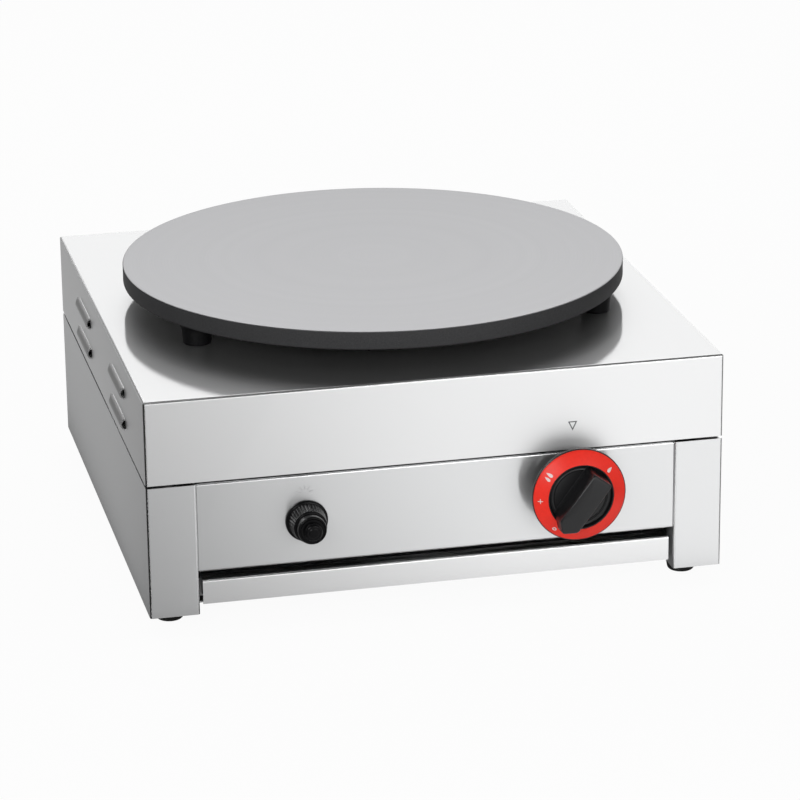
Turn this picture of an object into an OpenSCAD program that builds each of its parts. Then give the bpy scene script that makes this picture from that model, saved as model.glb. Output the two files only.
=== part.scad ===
// Countertop gas crepe maker: a round cast-iron griddle over a star burner, in a
// folded stainless housing with a gas tap, a piezo igniter and a slide-out drip tray.
// Millimetres. +Z is up, the controls face -Y, and the origin is on the surface that
// the feet stand on, under the centre of the griddle.

/* [Housing] */
// Width of the housing, side to side
body_w = 446; // [430:1:480]
// Depth of the housing, front to back
body_d = 448; // [430:1:480]
// Height of the lower housing, from the posts' lower end to its top flanges
base_h = 103.5; // [98:0.5:125]
// Height of the folded cover
cover_h = 65.5; // [62:0.5:90]
// Dark gap between the lower housing and the cover
seam_gap = 2; // [1:0.1:3]
// Thickness of the stainless sheet
sheet_t = 1.2; // [0.8:0.1:1.6]
// Outside radius of the folds
bend_r = 2; // [1.8:0.1:3]
// Width of the front posts, folded from the side panels
post_w = 38; // [34:0.5:42]
// Depth of the posts' inner return
post_return = 18; // [15:0.5:24]
// Width of the side panels' rear returns
rear_return_w = 30; // [24:1:36]
// Width of the side panels' top flanges
top_flange_w = 20; // [17:0.5:24]
// Width of the side panels' bottom flanges
bottom_flange_w = 51.5; // [50:0.5:56]
// Distance of the bottom flanges behind the front
flange_setback = 23; // [20:1:32]
// Corner radius of the bottom flanges
flange_corner_r = 10; // [4:1:14]

/* [Cover] */
// Diameter of the burner opening in the cover
well_d = 300; // [290:2:320]
// Height of the opening's turned-down lip
lip_h = 7; // [4:0.5:10]
// Width of the hems along the cover's lower edges
hem_w = 15; // [14:0.5:18]
// Distance of the hems' ends from the cover's corners
hem_end = 20; // [18:1:26]
// Length of a louvre from its mouth to its point
louvre_l = 58; // [40:1:70]
// Length of the point at a louvre's rear end
louvre_tail = 22; // [16:1:28]
// Radius that the louvres are pressed to
louvre_r = 4.9; // [4.7:0.1:5.6]
// How far the louvres stand out of the skirt
louvre_rise = 4; // [3.4:0.1:4.6]
// Width of the cut in front of a louvre's mouth
louvre_cut = 0.6; // [0.4:0.1:1]
// Distance of the front louvres' mouths behind the front
louvre_setback = 93.5; // [70:0.5:110]
// Distance between the front and the rear louvres
louvre_spacing = 178; // [120:1:200]
// Height of the lower louvres' middle above the cover's edge
louvre_low = 17; // [14:0.5:20]
// Height from the lower louvres to the upper ones
louvre_step = 25; // [18:0.5:28]

/* [Control panel] */
// Recess of the control panel behind the posts' faces
panel_recess = 2; // [1:0.5:4]
// Height of the panel's lower edge above the posts' lower end
panel_lift = 33; // [31:0.5:36]
// Depth of the panel's top and bottom flanges
panel_flange = 16; // [12:0.5:18]
// Gap between the panel's ends and the posts
panel_gap = 0.3; // [0.2:0.1:1]
// Depth of the screw tabs at the panel's ends
tab_d = 15; // [14:0.5:16]
// Distance of the screw tabs from the panel's edges
tab_end = 5; // [3:0.5:8]

/* [Drip tray] */
// Recess of the tray's front behind the posts' faces
tray_recess = 3; // [2:0.5:5]
// Height of the tray above the posts' lower end
tray_lift = 6.8; // [6.4:0.1:8]
// Height of the tray's front
tray_front_h = 19.2; // [18:0.2:21]
// Gap between the tray front's ends and the posts
tray_side_gap = 3; // [2:0.5:4]
// Depth of the grip folded back from the top of the tray's front
tray_grip = 12; // [8:0.5:16]
// Inset of the pan's sides from the tray front's ends
pan_inset = 2.8; // [2.4:0.1:4]
// Height of the pan's walls
pan_h = 16; // [12:0.5:17]
// Gap between the closed tray and the rear panel
tray_rear_gap = 0.5; // [0.4:0.1:3]

/* [Tray runners] */
// Height clearance between the pan and its runners
runner_play = 0.3; // [0.2:0.1:0.6]
// Side clearance between the pan and its runners
guide_play = 0.5; // [0.3:0.1:1]
// Width of the shelf that the pan slides on
shelf_w = 10; // [8:0.5:14]
// Height of the runners' guide walls
guide_h = 13; // [11:0.5:15]
// Width of the runners' folded box
runner_box_w = 8.3; // [7:0.1:9]
// Width of the runners' riveted foot
runner_foot_w = 8; // [7:0.5:8.5]
// Length of the runners
runner_l = 400; // [300:5:405]
// Distance of the runners' front ends behind the front
runner_setback = 24; // [22:1:26]

/* [Griddle] */
// Diameter of the griddle plate
plate_d = 400; // [396:1:420]
// Thickness of the griddle plate at its rim
plate_t = 14.5; // [12:0.5:20]
// Chamfer of the plate's upper edge
rim_chamfer = 1; // [0.5:0.1:2]
// Diameter of the shallow recess in the plate's underside
recess_d = 320; // [280:2:330]
// Depth of the recess in the plate's underside
recess_h = 3; // [1:0.5:5]
// Height of the plate's cast legs
leg_h = 16.5; // [12:0.5:24]
// Diameter of a leg at the plate
leg_root_d = 24; // [20:0.5:26]
// Diameter of a leg at its foot
leg_foot_d = 22; // [18:0.5:24]
// Radius of the circle that the legs stand on
leg_circle_r = 184; // [182:0.5:186]
// Diameter of the locating spigot under each leg
spigot_d = 8; // [6:0.5:12]
// Height of the locating spigots
spigot_h = 3; // [2:0.5:5]
// Clearance around the spigots in the cover
spigot_play = 0.5; // [0.3:0.1:1]
// Gap between the legs and the cover
seat_play = 0.3; // [0.2:0.1:0.5]

/* [Burner] */
// Outer diameter of the burner's hub
hub_d = 68; // [66:1:76]
// Height of the burner's hub
hub_h = 52; // [51.5:0.5:55]
// Wall thickness of the burner's hub
hub_wall = 5; // [3:0.5:7]
// Length of the base bar that the hub stands on
base_bar_l = 114; // [108:1:124]
// Width of the base bar
base_bar_w = 44; // [36:1:50]
// Thickness of the base bar
base_bar_t = 5; // [4:0.5:6]
// Number of the burner's arms
arm_count = 8; // [8:8:8]
// Radius that the arms reach
arm_reach = 138; // [120:1:142]
// Outer diameter of an arm
arm_d = 14; // [12:0.5:14.5]
// Wall thickness of an arm
arm_wall = 1.4; // [1:0.1:2]
// Height of the arms' axes above the foot of the hub
arm_z = 43; // [42.5:0.5:44.5]
// Number of flame ports on each arm
port_count = 6; // [3:1:8]
// Diameter of a flame port
port_d = 3; // [1.5:0.1:4]
// Distance between the flame ports
port_step = 15; // [8:0.5:15]
// Distance of the outermost port from the arm's end
port_end = 10; // [6:0.5:14]
// Diameter of the burner's cap
cap_d = 54; // [48:1:60]
// Thickness of the burner's cap
cap_t = 4; // [3:0.5:6]
// Diameter of the cap's locating step
cap_step_d = 44; // [36:1:46]

/* [Mixing tube] */
// Outer diameter of the mixing tube
mix_d = 30; // [24:1:32]
// Wall thickness of the mixing tube
mix_wall = 1.6; // [1:0.1:2.4]
// Distance of the mixing tube's mouth behind the front
mouth_setback = 74; // [72:1:100]
// Diameter of the mixing tube's flared mouth
mouth_d = 42; // [38:1:46]
// Length of the mixing tube's flare
flare_l = 24; // [16:1:34]
// Height of the mixing tube's axis above the foot of the hub
mix_z = 20; // [18.5:0.5:20.5]
// Distance from the mixing tube's mouth to the injector's plate
air_gap = 20; // [16:1:24]
// Diameter of the air shutter
shutter_d = 34; // [28:1:38]
// Thickness of the air shutter
shutter_t = 2; // [1:0.1:3]
// Thickness of the flange at the mixing tube's mouth
mouth_flange_t = 1.6; // [1:0.1:2.4]
// Thickness of the plate that carries the injector
injector_plate_t = 2; // [1.5:0.1:3]
// Width of the injector's holder
holder_w = 16; // [16:0.5:20]
// Thickness of the holder's legs
holder_t = 2; // [1.2:0.1:3]
// Thickness of the holder's clips on the mouth's flange
clip_t = 1.5; // [1:0.1:2]
// Diameter of the injector
injector_d = 10; // [9:0.5:11]
// Reach of the injector beyond its plate
injector_nose_l = 14; // [10:0.5:16]
// Length of the injector's cone
injector_cone_l = 3; // [2:0.5:5]
// Width across the flats of the injector
injector_hex = 14; // [13:0.5:15]
// Thickness of the injector's hexagon
injector_hex_t = 6; // [4:0.5:8]
// Diameter of the injector's bore
injector_bore_d = 5; // [3:0.5:6]
// Diameter of the injector's gas orifice
orifice_d = 1.4; // [0.8:0.1:1.8]

/* [Burner rail] */
// Width of the rail that carries the burner
rail_w = 60; // [54:1:70]
// Depth of the rail's folded edges
rail_h = 14; // [10:0.5:18]
// Thickness of the rail
rail_t = 1.5; // [1.2:0.1:2]

/* [Gas tap] */
// Distance of the tap and its knob from the housing's side
tap_inset = 119; // [111:0.5:122]
// Height of the tap's axis above the posts' lower end
tap_z = 75.7; // [74:0.1:78]
// Diameter of the tap's barrel
barrel_d = 30; // [28:0.5:34]
// Length of the tap's barrel behind its front flange
barrel_l = 36; // [35:0.5:42]
// Thickness of the tap's front flange
tap_flange_t = 5; // [4:0.5:7]
// Thickness of the tap's bonnet
bonnet_t = 4; // [3:0.5:6]
// Width of the bonnet and of the tap's front flange
bonnet_w = 40; // [39:0.5:46]
// Height of the bonnet and of the tap's front flange
bonnet_h = 22; // [20:0.5:26]
// Distance between the tap's two fixing screws
tap_screw_pitch = 30; // [29:0.5:31]
// Diameter of the tapered plug at its front end
plug_d = 18; // [17:0.2:19]
// Diameter of the tapered plug at its rear end
plug_tail_d = 14; // [13:0.2:16]
// Length of the tapered plug
plug_l = 27; // [26:0.5:29]
// Running clearance around the plug and the spindle
running_play = 0.05; // [0.02:0.01:0.08]
// Diameter of the spring's pocket in the plug
pocket_d = 10; // [9.6:0.2:11]
// Depth of the spring's pocket in the plug
pocket_l = 8; // [7:0.5:9]
// Diameter of the spindle through the bonnet
spindle_d = 8; // [7.6:0.2:9]
// Diameter of the spindle inside the plug
spindle_tail_d = 6; // [5:0.2:6]
// Length of the spindle inside the plug
spindle_tail_l = 19; // [17:0.5:20]
// Outer diameter of the spindle's spring
spindle_spring_d = 8.7; // [8.2:0.1:9.4]
// Wire diameter of the spindle's spring
spindle_wire_d = 0.9; // [0.6:0.1:1]
// Turns of the spindle's spring
spindle_turns = 4; // [3:1:5]
// Diameter of the panel's hole around the spindle
spindle_hole_d = 14; // [10:0.5:16]
// Depth of the flat on the spindle
spindle_flat = 1; // [0.5:0.1:1.5]
// Travel of the knob when it is pushed in
knob_travel = 3.5; // [2.5:0.1:3.6]
// Diameter of the safety magnet's housing
magnet_d = 16; // [14:0.5:18]
// Length of the safety magnet's housing
magnet_l = 24; // [18:1:28]
// Width across the flats of the magnet's end fitting
magnet_tail_flats = 10; // [8:0.5:13]
// Length of the magnet's end fitting
magnet_tail_l = 5; // [3:0.5:8]
// Diameter of the tap's side ports
port_boss_d = 16; // [14:0.5:18]
// Reach of the tap's side ports from its axis
port_reach = 24; // [20:0.5:26]
// Distance of the side ports behind the tap's front flange
port_back = 16; // [14:0.5:18]
// Width across the flats of the pipes' union nuts
union_hex = 17; // [16:0.5:18]
// Length of the pipes' union nuts
union_l = 8; // [6:0.5:10]

/* [Control knob] */
// Outer diameter of the coloured collar
collar_d = 71.9; // [66:0.1:76]
// Inner diameter of the coloured collar
collar_hole_d = 51.4; // [50:0.2:54]
// Thickness of the collar along the knob's axis
collar_t = 2; // [1.5:0.1:2.5]
// How far the collar's cone rises from its outer to its inner edge
collar_rise = 6; // [4:0.5:7]
// Distance of the collar's outer edge in front of the panel
collar_reach = 22; // [20:0.5:26]
// Dark rim of the knob around the collar
knob_rim = 0.6; // [0.4:0.1:1.2]
// Diameter of the knob's skirt
skirt_d = 61; // [58:0.5:66]
// Wall thickness of the knob's skirt
skirt_wall = 2.5; // [2:0.1:3.5]
// Gap between the pushed knob's skirt and the cover's front
knob_gap = 0.3; // [0.2:0.1:1]
// Depth of the dish around the grip
dish_h = 4; // [3:0.5:5]
// Thickness of the dish's floor
dish_floor = 4; // [3:0.5:5]
// Width of the knob's grip
grip_w = 16.6; // [13:0.2:19]
// Half length of the grip, without its point
grip_half_l = 22.6; // [20:0.2:24]
// Reach of the grip's point from the knob's axis
grip_point = 30.3; // [28:0.1:33]
// Height of the grip above the dish's floor
grip_h = 21; // [15:0.5:24]
// Diameter of the boss that takes the spindle
boss_d = 18; // [16:0.5:20]
// Turn of the knob from off, in degrees
knob_turn = 143; // [0:1:192]

/* [Igniter] */
// Distance of the igniter from the housing's side
igniter_inset = 121; // [111:0.5:128]
// Height of the igniter's axis above the posts' lower end
igniter_z = 67; // [64:0.5:72]
// Diameter of the igniter's body
igniter_d = 18; // [16:0.5:19]
// Length of the igniter's body behind the panel
igniter_l = 55; // [45:1:70]
// Diameter of the ring nut's base
nut_base_d = 32.4; // [29:0.2:36]
// Thickness of the ring nut's base
nut_base_t = 3; // [2:0.5:4]
// Diameter of the knurled part at its rear end
knurl_d = 29; // [26:0.2:31]
// Diameter of the knurled part at its front end
knurl_tip_d = 25; // [23:0.2:27]
// Length of the knurled part
knurl_l = 13; // [10:0.5:15]
// Diameter of the ring nut's neck
neck_d = 22; // [21:0.2:24]
// Length of the ring nut's neck
neck_l = 8; // [6:0.5:10]
// Width across the flats of the igniter's back nut
back_nut_flats = 26; // [24:0.5:30]
// Thickness of the igniter's back nut
back_nut_h = 5; // [3:0.5:6]
// Diameter of the push button
button_d = 14; // [12:0.2:14.6]
// Roundness of the button's front edge
button_round = 3; // [2:0.1:4]
// Length of the push button inside the body
button_l = 12; // [10:0.5:16]
// Reach of the button in front of the ring nut
button_reach = 5.5; // [4.6:0.1:7]
// Travel of the button when it is pushed in
button_travel = 4.5; // [3:0.1:4.5]
// Length of the button's spring at rest
button_spring_l = 17; // [14:0.5:20]
// Outer diameter of the button's spring
button_spring_d = 11.6; // [10:0.1:13]
// Wire diameter of the button's spring
button_wire_d = 1; // [0.7:0.1:1.2]
// Turns of the button's spring
button_turns = 7; // [5:1:9]
// Clearance of the button in its body
button_play = 0.08; // [0.04:0.01:0.1]

/* [Gas line] */
// Distance of the gas inlet from the housing's side
inlet_inset = 73; // [66:1:78]
// Diameter of the inlet's external thread
inlet_thread_d = 20.96; // [20:0.02:26.5]
// Length of the inlet's external thread
inlet_thread_l = 21; // [16:0.5:22]
// Reach of the inlet behind the housing
inlet_reach = 43; // [41:0.5:46]
// Width across the flats of the inlet's hexagon
inlet_hex = 27; // [24:0.5:32]
// Thickness of the inlet's hexagon
inlet_hex_t = 12; // [8:0.5:14]
// Diameter of the inlet's bore
inlet_bore_d = 13; // [10:0.5:15]
// Depth of the inlet's bore
inlet_bore_l = 12; // [8:0.5:20]
// Depth of the groove between the inlet's hexagon and its thread
inlet_undercut = 1; // [0.6:0.1:1.6]
// Diameter of the inlet's shank through the rear panel
bulkhead_d = 22; // [20:0.5:24]
// Length of the inlet's shank inside the rear panel
bulkhead_l = 14; // [12:0.5:16]
// Width across the flats of the inlet's locknut
locknut_flats = 30; // [28:0.5:34]
// Thickness of the inlet's locknut
locknut_h = 6; // [4:0.5:8]
// Outer diameter of the supply pipe
supply_d = 12; // [10:0.5:12.5]
// Outer diameter of the burner's feed pipe
feed_d = 8; // [6:0.5:10]
// Wall thickness of the pipes
pipe_wall = 1; // [0.8:0.1:1.5]
// Bend radius of the pipes, at their centre line
pipe_bend_r = 13; // [11:0.5:13.5]

/* [Ignition and flame guard] */
// Distance of the ignition bracket from the burner's axis
bracket_x = 70; // [69:0.5:80]
// Distance of the electrode and the thermocouple from the centre line
probe_y = 13; // [10:0.5:14]
// Height of the bracket's shelf above the rail
shelf_h = 32; // [26:1:34]
// Diameter of the electrode's ceramic
ceramic_d = 7; // [6:0.2:7.6]
// Diameter of the thermocouple's tip
thermo_d = 6; // [5:0.2:6.6]
// Length of the probes above the bracket's shelf
probe_l = 22; // [16:0.5:24]
// Length of the probes below the bracket's shelf
probe_below = 16; // [12:0.5:18]
// Length of the electrode's bare wire above its ceramic
electrode_bare = 8; // [5:0.5:10]
// Diameter of the electrode's bare wire
electrode_wire_d = 2; // [1.6:0.1:3]
// Height of the collars that seat the probes on the shelf
probe_collar_h = 2.5; // [1.5:0.1:4]
// Width of the collars that seat the probes on the shelf
probe_collar_w = 1; // [0.6:0.1:1.6]
// Half of the bracket's width
bracket_half_w = 20; // [18:0.5:24]
// Length of the bracket's foot on the rail
bracket_foot_l = 20; // [18:0.5:24]
// Diameter of the ignition lead
lead_d = 3; // [2:0.1:4]
// Diameter of the thermocouple's capillary
capillary_d = 2.4; // [1.6:0.1:3]
// Drop of the ignition lead below its electrode before it turns
lead_drop = 6; // [4:0.5:9]
// Distance of the ignition lead's descent from the rail
lead_clear = 20; // [12:1:26]
// Height that the ignition lead passes below the rail
lead_under = 4; // [2:0.5:8]
// Drop of the capillary below its probe before it turns
capillary_drop = 5; // [4:0.5:9]
// Distance of the capillary's descent from the rail
capillary_clear = 12; // [8:1:20]
// Height that the capillary passes below the rail
capillary_under = 10; // [4:0.5:14]
// Sideways set of the capillary while it passes the rail
capillary_shift = 6; // [0:0.5:10]
// Set of both lines away from the rail while they descend
descent_slant = 5.5; // [0:0.5:6]
// Straight run of both lines before their far ends
line_run = 34; // [24:1:40]

/* [Feet] */
// Height of the rubber feet
foot_h = 15; // [12:0.5:20]
// Largest diameter of a foot
foot_d = 25; // [22:0.5:28]
// Diameter of a foot where it stands
foot_tip_d = 21; // [18:0.5:22]
// Roundness of a foot's lower edge
foot_edge_r = 1.5; // [1:0.1:3]
// Height of a foot's straight band under the housing
foot_band = 3; // [2:0.1:6]
// Distance of a foot's centre from the housing's side
foot_inset_x = 20.3; // [19.5:0.1:21]
// Distance of a foot's centre from the housing's front and rear
foot_inset_y = 37; // [34:0.5:42]

/* [Fasteners] */
// Diameter of the small screws
screw_d = 4; // [3.5:0.1:4.2]
// Diameter of the small screws' heads
head_d = 7.8; // [7:0.1:8.2]
// Height of the small screws' heads
head_h = 2.4; // [1.8:0.1:2.8]
// Width across the flats of the small nuts
nut_flats = 7; // [6.6:0.1:7.4]
// Height of the small nuts
nut_h = 3.2; // [2.4:0.1:3.6]
// Diameter of the foot screws
foot_screw_d = 6; // [5:0.1:6.4]
// Diameter of the foot screws' heads
foot_head_d = 11; // [9:0.1:12]
// Height of the foot screws' heads
foot_head_h = 4; // [3:0.1:5]
// Width across the flats of the foot screws' nuts
foot_nut_flats = 10; // [9:0.1:10.6]
// Height of the foot screws' nuts
foot_nut_h = 5; // [4:0.1:5.4]
// Clearance around the screws in their holes
hole_play = 0.2; // [0.1:0.05:0.4]
// Clearance around the screws in their nuts
thread_play = 0.04; // [0.02:0.01:0.08]
// Distance of the cover's screws from the housing's sides
cover_screw_inset = 9; // [8.5:0.1:10]
// Distance of the cover's outer screws from the front and the rear
cover_screw_setback = 34; // [30:1:50]
// Distance of the cover's inner screws from the centre
cover_screw_near = 70; // [50:1:90]
// Distance of the rear panel's outer screws from its ends
rear_screw_end = 18; // [10:1:30]
// Distance of the control panel's screws from its edges
panel_screw_end = 14; // [11:1:20]
// Length of the screws' ends beyond their nuts
screw_end = 1; // [0.5:0.1:2]
// Distance of the rail's screws from its edges
rail_screw_end = 10; // [8:0.5:14]
// Diameter of the rivets
rivet_d = 3; // [2.4:0.1:3.4]
// Diameter of the rivets' heads
rivet_head_d = 5.6; // [4.8:0.1:6.4]
// Height of the rivets' heads
rivet_head_h = 1.2; // [0.8:0.1:1.6]
// Distance of the outer rivets from the runners' ends
rivet_end = 40; // [20:1:60]

/* [Hidden] */
$fn = 48;
cut = 1;
front = -body_d / 2;
back = body_d / 2;
half_w = body_w / 2;
base_z0 = foot_h;
base_z1 = base_z0 + base_h;
cover_z0 = base_z1 + seam_gap;
cover_z1 = cover_z0 + cover_h;
plate_z0 = cover_z1 + leg_h;
plate_z1 = plate_z0 + plate_t;
post_x = half_w - post_w;
panel_y = front + panel_recess;
panel_back = panel_y + sheet_t;
panel_z0 = base_z0 + panel_lift;
panel_end = post_x - panel_gap;
rear_in = back - 2 * sheet_t;

tray_y = front + tray_recess;
tray_z0 = base_z0 + tray_lift;
tray_z1 = tray_z0 + tray_front_h;
tray_end = post_x - tray_side_gap;
pan_end = tray_end - pan_inset;
pan_y0 = tray_y + sheet_t;
pan_y1 = rear_in - tray_rear_gap;
pan_z1 = tray_z0 + pan_h;

flange_top = base_z0 + sheet_t;
guide_x = pan_end + guide_play;
shelf_z = tray_z0 - runner_play;
guide_z = shelf_z + guide_h;
runner_x1 = guide_x + runner_box_w;
runner_y0 = front + runner_setback;
runner_foot_x = runner_x1 - sheet_t + runner_foot_w;
rivet_x = runner_x1 + (runner_foot_w - sheet_t) / 2;
rivet_ys = [for (i = [-1 : 1]) runner_y0 + runner_l / 2 + i * (runner_l / 2 - rivet_end)];

rail_z1 = base_z1 - sheet_t;
rail_z0 = rail_z1 - rail_t;
hub_z0 = rail_z1;
hub_z1 = hub_z0 + hub_h;
arm_axis_z = hub_z0 + arm_z;
hub_floor = hub_z0 + base_bar_t + 1;
hub_roof = hub_z1 - 3;
mix_axis_z = hub_z0 + mix_z;
mix_y0 = front + mouth_setback;
mix_y1 = -(hub_d / 2 - hub_wall);
injector_y = mix_y0 - air_gap;
injector_back = injector_y - injector_plate_t;

tap_x = half_w - tap_inset;
tap_axis_z = base_z0 + tap_z;
bonnet_y = panel_back + bonnet_t;
barrel_y0 = bonnet_y + tap_flange_t;
barrel_y1 = barrel_y0 + barrel_l;
plug_y0 = bonnet_y + 0.3;
plug_y1 = plug_y0 + plug_l;
port_y = bonnet_y + port_back;

collar_y = panel_y - collar_reach;
collar_crest = collar_y - collar_rise;
dish_y = collar_crest + dish_h;
web_y = dish_y + dish_floor;
skirt_y = front - knob_travel - knob_gap;
grip_y = dish_y - grip_h;
spindle_y0 = dish_y + 2;
spindle_step_y = plug_y0 + 0.5;
spindle_y1 = plug_y0 + spindle_tail_l;

igniter_x = half_w - igniter_inset;
igniter_axis_z = base_z0 + igniter_z;
ring_y0 = panel_y - nut_base_t;
ring_y1 = ring_y0 - knurl_l;
ring_y2 = ring_y1 - neck_l;
button_y0 = ring_y2 - button_reach;
button_y1 = ring_y2 + button_l;
button_floor = button_y1 + button_spring_l;
igniter_y1 = panel_back + igniter_l;
terminal_l = 8;

inlet_x = half_w - inlet_inset;
inlet_y1 = back + inlet_reach;
inlet_thread_y = inlet_y1 - inlet_thread_l;
supply_nut_y = rear_in - bulkhead_l;

elbow_bead = 0.6;
bracket_t = 1.5;
bracket_web = 8;
bracket_x0 = bracket_x - bracket_web;
bracket_x1 = bracket_x + bracket_web + 1;
bracket_screw_x = 5 - bracket_x1;
shelf_top = rail_z1 + shelf_h;
probe_foot = shelf_top - probe_below;
probe_tip = shelf_top + probe_l;

lead_y = -rail_w / 2 - lead_clear;
capillary_y = rail_w / 2 + capillary_clear;
rail_foot_z = rail_z0 - rail_h;
magnet_y1 = barrel_y1 + magnet_l;

// Route of the ignition lead from the electrode to the igniter.
lead_points = [[-bracket_x, -probe_y, probe_foot], [-bracket_x, -probe_y, probe_foot - lead_drop],
               [-bracket_x, lead_y, probe_foot - lead_drop],
               [-bracket_x, lead_y - descent_slant, rail_foot_z - lead_under],
               [-igniter_x, igniter_y1 + line_run, igniter_axis_z],
               [-igniter_x, igniter_y1 + terminal_l, igniter_axis_z]];
// Route of the thermocouple's capillary from its tip to the safety magnet.
capillary_points = [[-bracket_x, probe_y, probe_foot], [-bracket_x, probe_y, probe_foot - capillary_drop],
                    [-bracket_x, capillary_y, probe_foot - capillary_drop],
                    [-bracket_x + capillary_shift, capillary_y + descent_slant, rail_foot_z - capillary_under],
                    [tap_x, magnet_y1 + line_run, tap_axis_z],
                    [tap_x, magnet_y1 + magnet_tail_l, tap_axis_z]];

// ---- shared shapes

module slab(x0, x1, y0, y1, z0, z1) {
  translate([x0, y0, z0]) cube([x1 - x0, y1 - y0, z1 - z0]);
}

module rod_x(x0, x1, y, z, r) {
  translate([x0, y, z]) rotate([0, 90, 0]) cylinder(h = x1 - x0, r = r);
}

module rod_y(y0, y1, x, z, r) {
  translate([x, y0, z]) rotate([-90, 0, 0]) cylinder(h = y1 - y0, r = r);
}

module rod_z(z0, z1, x, y, r) {
  translate([x, y, z0]) cylinder(h = z1 - z0, r = r);
}

// A hexagon of the given width across its flats, along +Z.
module hex_prism(flats, h) {
  cylinder(h = h, d = flats / cos(30), $fn = 6);
}

// A solid turned about an axis along Y through [x, z]; points are [radius, y].
module turned_y(x, z, points) {
  translate([x, 0, z]) rotate([-90, 0, 0]) rotate_extrude() polygon(points);
}

module mirrored_x() {
  children();
  mirror([1, 0, 0]) children();
}

// A rectangle with four round corners, from [x0, y0] to [x1, y1].
module round_rect(x0, x1, y0, y1, r) {
  translate([x0 + r, y0]) square([x1 - x0 - 2 * r, y1 - y0]);
  translate([x0, y0 + r]) square([x1 - x0, y1 - y0 - 2 * r]);
  for (x = [x0 + r, x1 - r], y = [y0 + r, y1 - r]) translate([x, y]) circle(r);
}

// The outline of a folded sheet: the rim of a rectangle with round folds.
module folded_ring(x0, x1, y0, y1) {
  difference() {
    round_rect(x0, x1, y0, y1, bend_r);
    round_rect(x0 + sheet_t, x1 - sheet_t, y0 + sheet_t, y1 - sheet_t, bend_r - sheet_t);
  }
}

// A pan-head screw along +Z: its head is below the origin, its shank above.
module screw(d, l, hd, hh) {
  translate([0, 0, -hh]) cylinder(h = hh, d = hd);
  cylinder(h = l, d = d);
}

module nut(flats, h, bore) {
  difference() {
    hex_prism(flats, h);
    translate([0, 0, -cut]) cylinder(h = h + 2 * cut, d = bore);
  }
}

// A wire of straight stretches with a small bead at each elbow.
module wire(points, d) {
  for (i = [0 : len(points) - 2]) {
    step = points[i + 1] - points[i];
    l = norm(step);
    translate(points[i]) rotate([0, acos(step[2] / l), atan2(step[1], step[0])]) cylinder(h = l, d = d, $fn = 24);
    if (i > 0) translate(points[i]) sphere(d = d + elbow_bead, $fn = 24);
  }
}

// A quarter bend of pipe in the XY plane: from the origin towards +Y, turning to +X.
module quarter_bend(d, bore) {
  translate([pipe_bend_r, 0, 0]) rotate([0, 0, 90]) rotate_extrude(angle = 90)
    translate([pipe_bend_r, 0]) difference() {
      circle(d = d);
      circle(d = bore);
    }
}

// A spring wound about +Z with closed ends, swept along its helix.
module coil_spring(d, wire_d, l, turns) {
  steps = 16;
  sides = 8;
  count = turns * steps;
  rise = (l - wire_d) / turns;
  rings = [for (i = [0 : count]) let (a = 360 * i / steps, z = wire_d / 2 + rise * i / steps)
    for (k = [0 : sides - 1]) let (b = 360 * k / sides, r = (d - wire_d + wire_d * cos(b)) / 2)
      [r * cos(a), r * sin(a), z + wire_d / 2 * sin(b)]];
  walls = [for (i = [0 : count - 1], k = [0 : sides - 1]) let (n = (k + 1) % sides)
    [i * sides + k, i * sides + n, (i + 1) * sides + n, (i + 1) * sides + k]];
  ends = [[for (k = [sides - 1 : -1 : 0]) k], [for (k = [0 : sides - 1]) count * sides + k]];
  polyhedron(rings, concat(walls, ends));
}

// ---- cover

module round_top(w, h, r) {
  translate([-w / 2, 0]) square([w, h - r]);
  translate([-w / 2 + r, 0]) square([w - 2 * r, h]);
  for (s = [-1, 1]) translate([s * (w / 2 - r), h - r]) circle(r);
}

// The cover's outer block, or with an inset its hollow.
module cover_block(inset) {
  w = body_w - 2 * inset;
  d = body_d - 2 * inset;
  drop = inset > 0 ? cut : 0;
  h = cover_h - inset + drop;
  intersection() {
    translate([0, d / 2, cover_z0 - drop]) rotate([90, 0, 0]) linear_extrude(d) round_top(w, h, bend_r - inset);
    translate([-w / 2, 0, cover_z0 - drop]) rotate([90, 0, 90]) linear_extrude(w) round_top(d, h, bend_r - inset);
    translate([0, 0, cover_z0 - drop]) linear_extrude(h) round_rect(-w / 2, w / 2, -d / 2, d / 2, bend_r - inset);
  }
}

louvre_ys = [front + louvre_setback, front + louvre_setback + louvre_spacing];
louvre_zs = [cover_z0 + louvre_low, cover_z0 + louvre_low + louvre_step];

// The volume of one louvre on the right skirt: a half round with a point at its rear.
// It starts the lead in front of the mouth at y.
module louvre_form(y, z, r, lead) {
  y1 = y + louvre_l;
  y2 = y1 + louvre_tail * r / louvre_r;
  intersection() {
    turned_y(half_w + louvre_rise - louvre_r, z, [[0, y - lead], [r, y - lead], [r, y1], [0, y2]]);
    slab(half_w - sheet_t, half_w + louvre_r, y - 2 * louvre_cut, y2 + cut, z - louvre_r, z + louvre_r);
  }
}

module cover_hems() {
  y0 = front + hem_end;
  mirrored_x() difference() {
    slab(half_w - hem_w, half_w - sheet_t / 2, y0, -y0, cover_z0, cover_z0 + sheet_t);
    for (y = cover_screw_ys) rod_z(cover_z0 - cut, cover_z0 + 3, half_w - cover_screw_inset, y, screw_d / 2 + hole_play);
  }
  x0 = half_w - hem_end;
  for (s = [-1, 1]) scale([1, s, 1]) slab(-x0, x0, front + sheet_t / 2, front + hem_w, cover_z0, cover_z0 + sheet_t);
}

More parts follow.
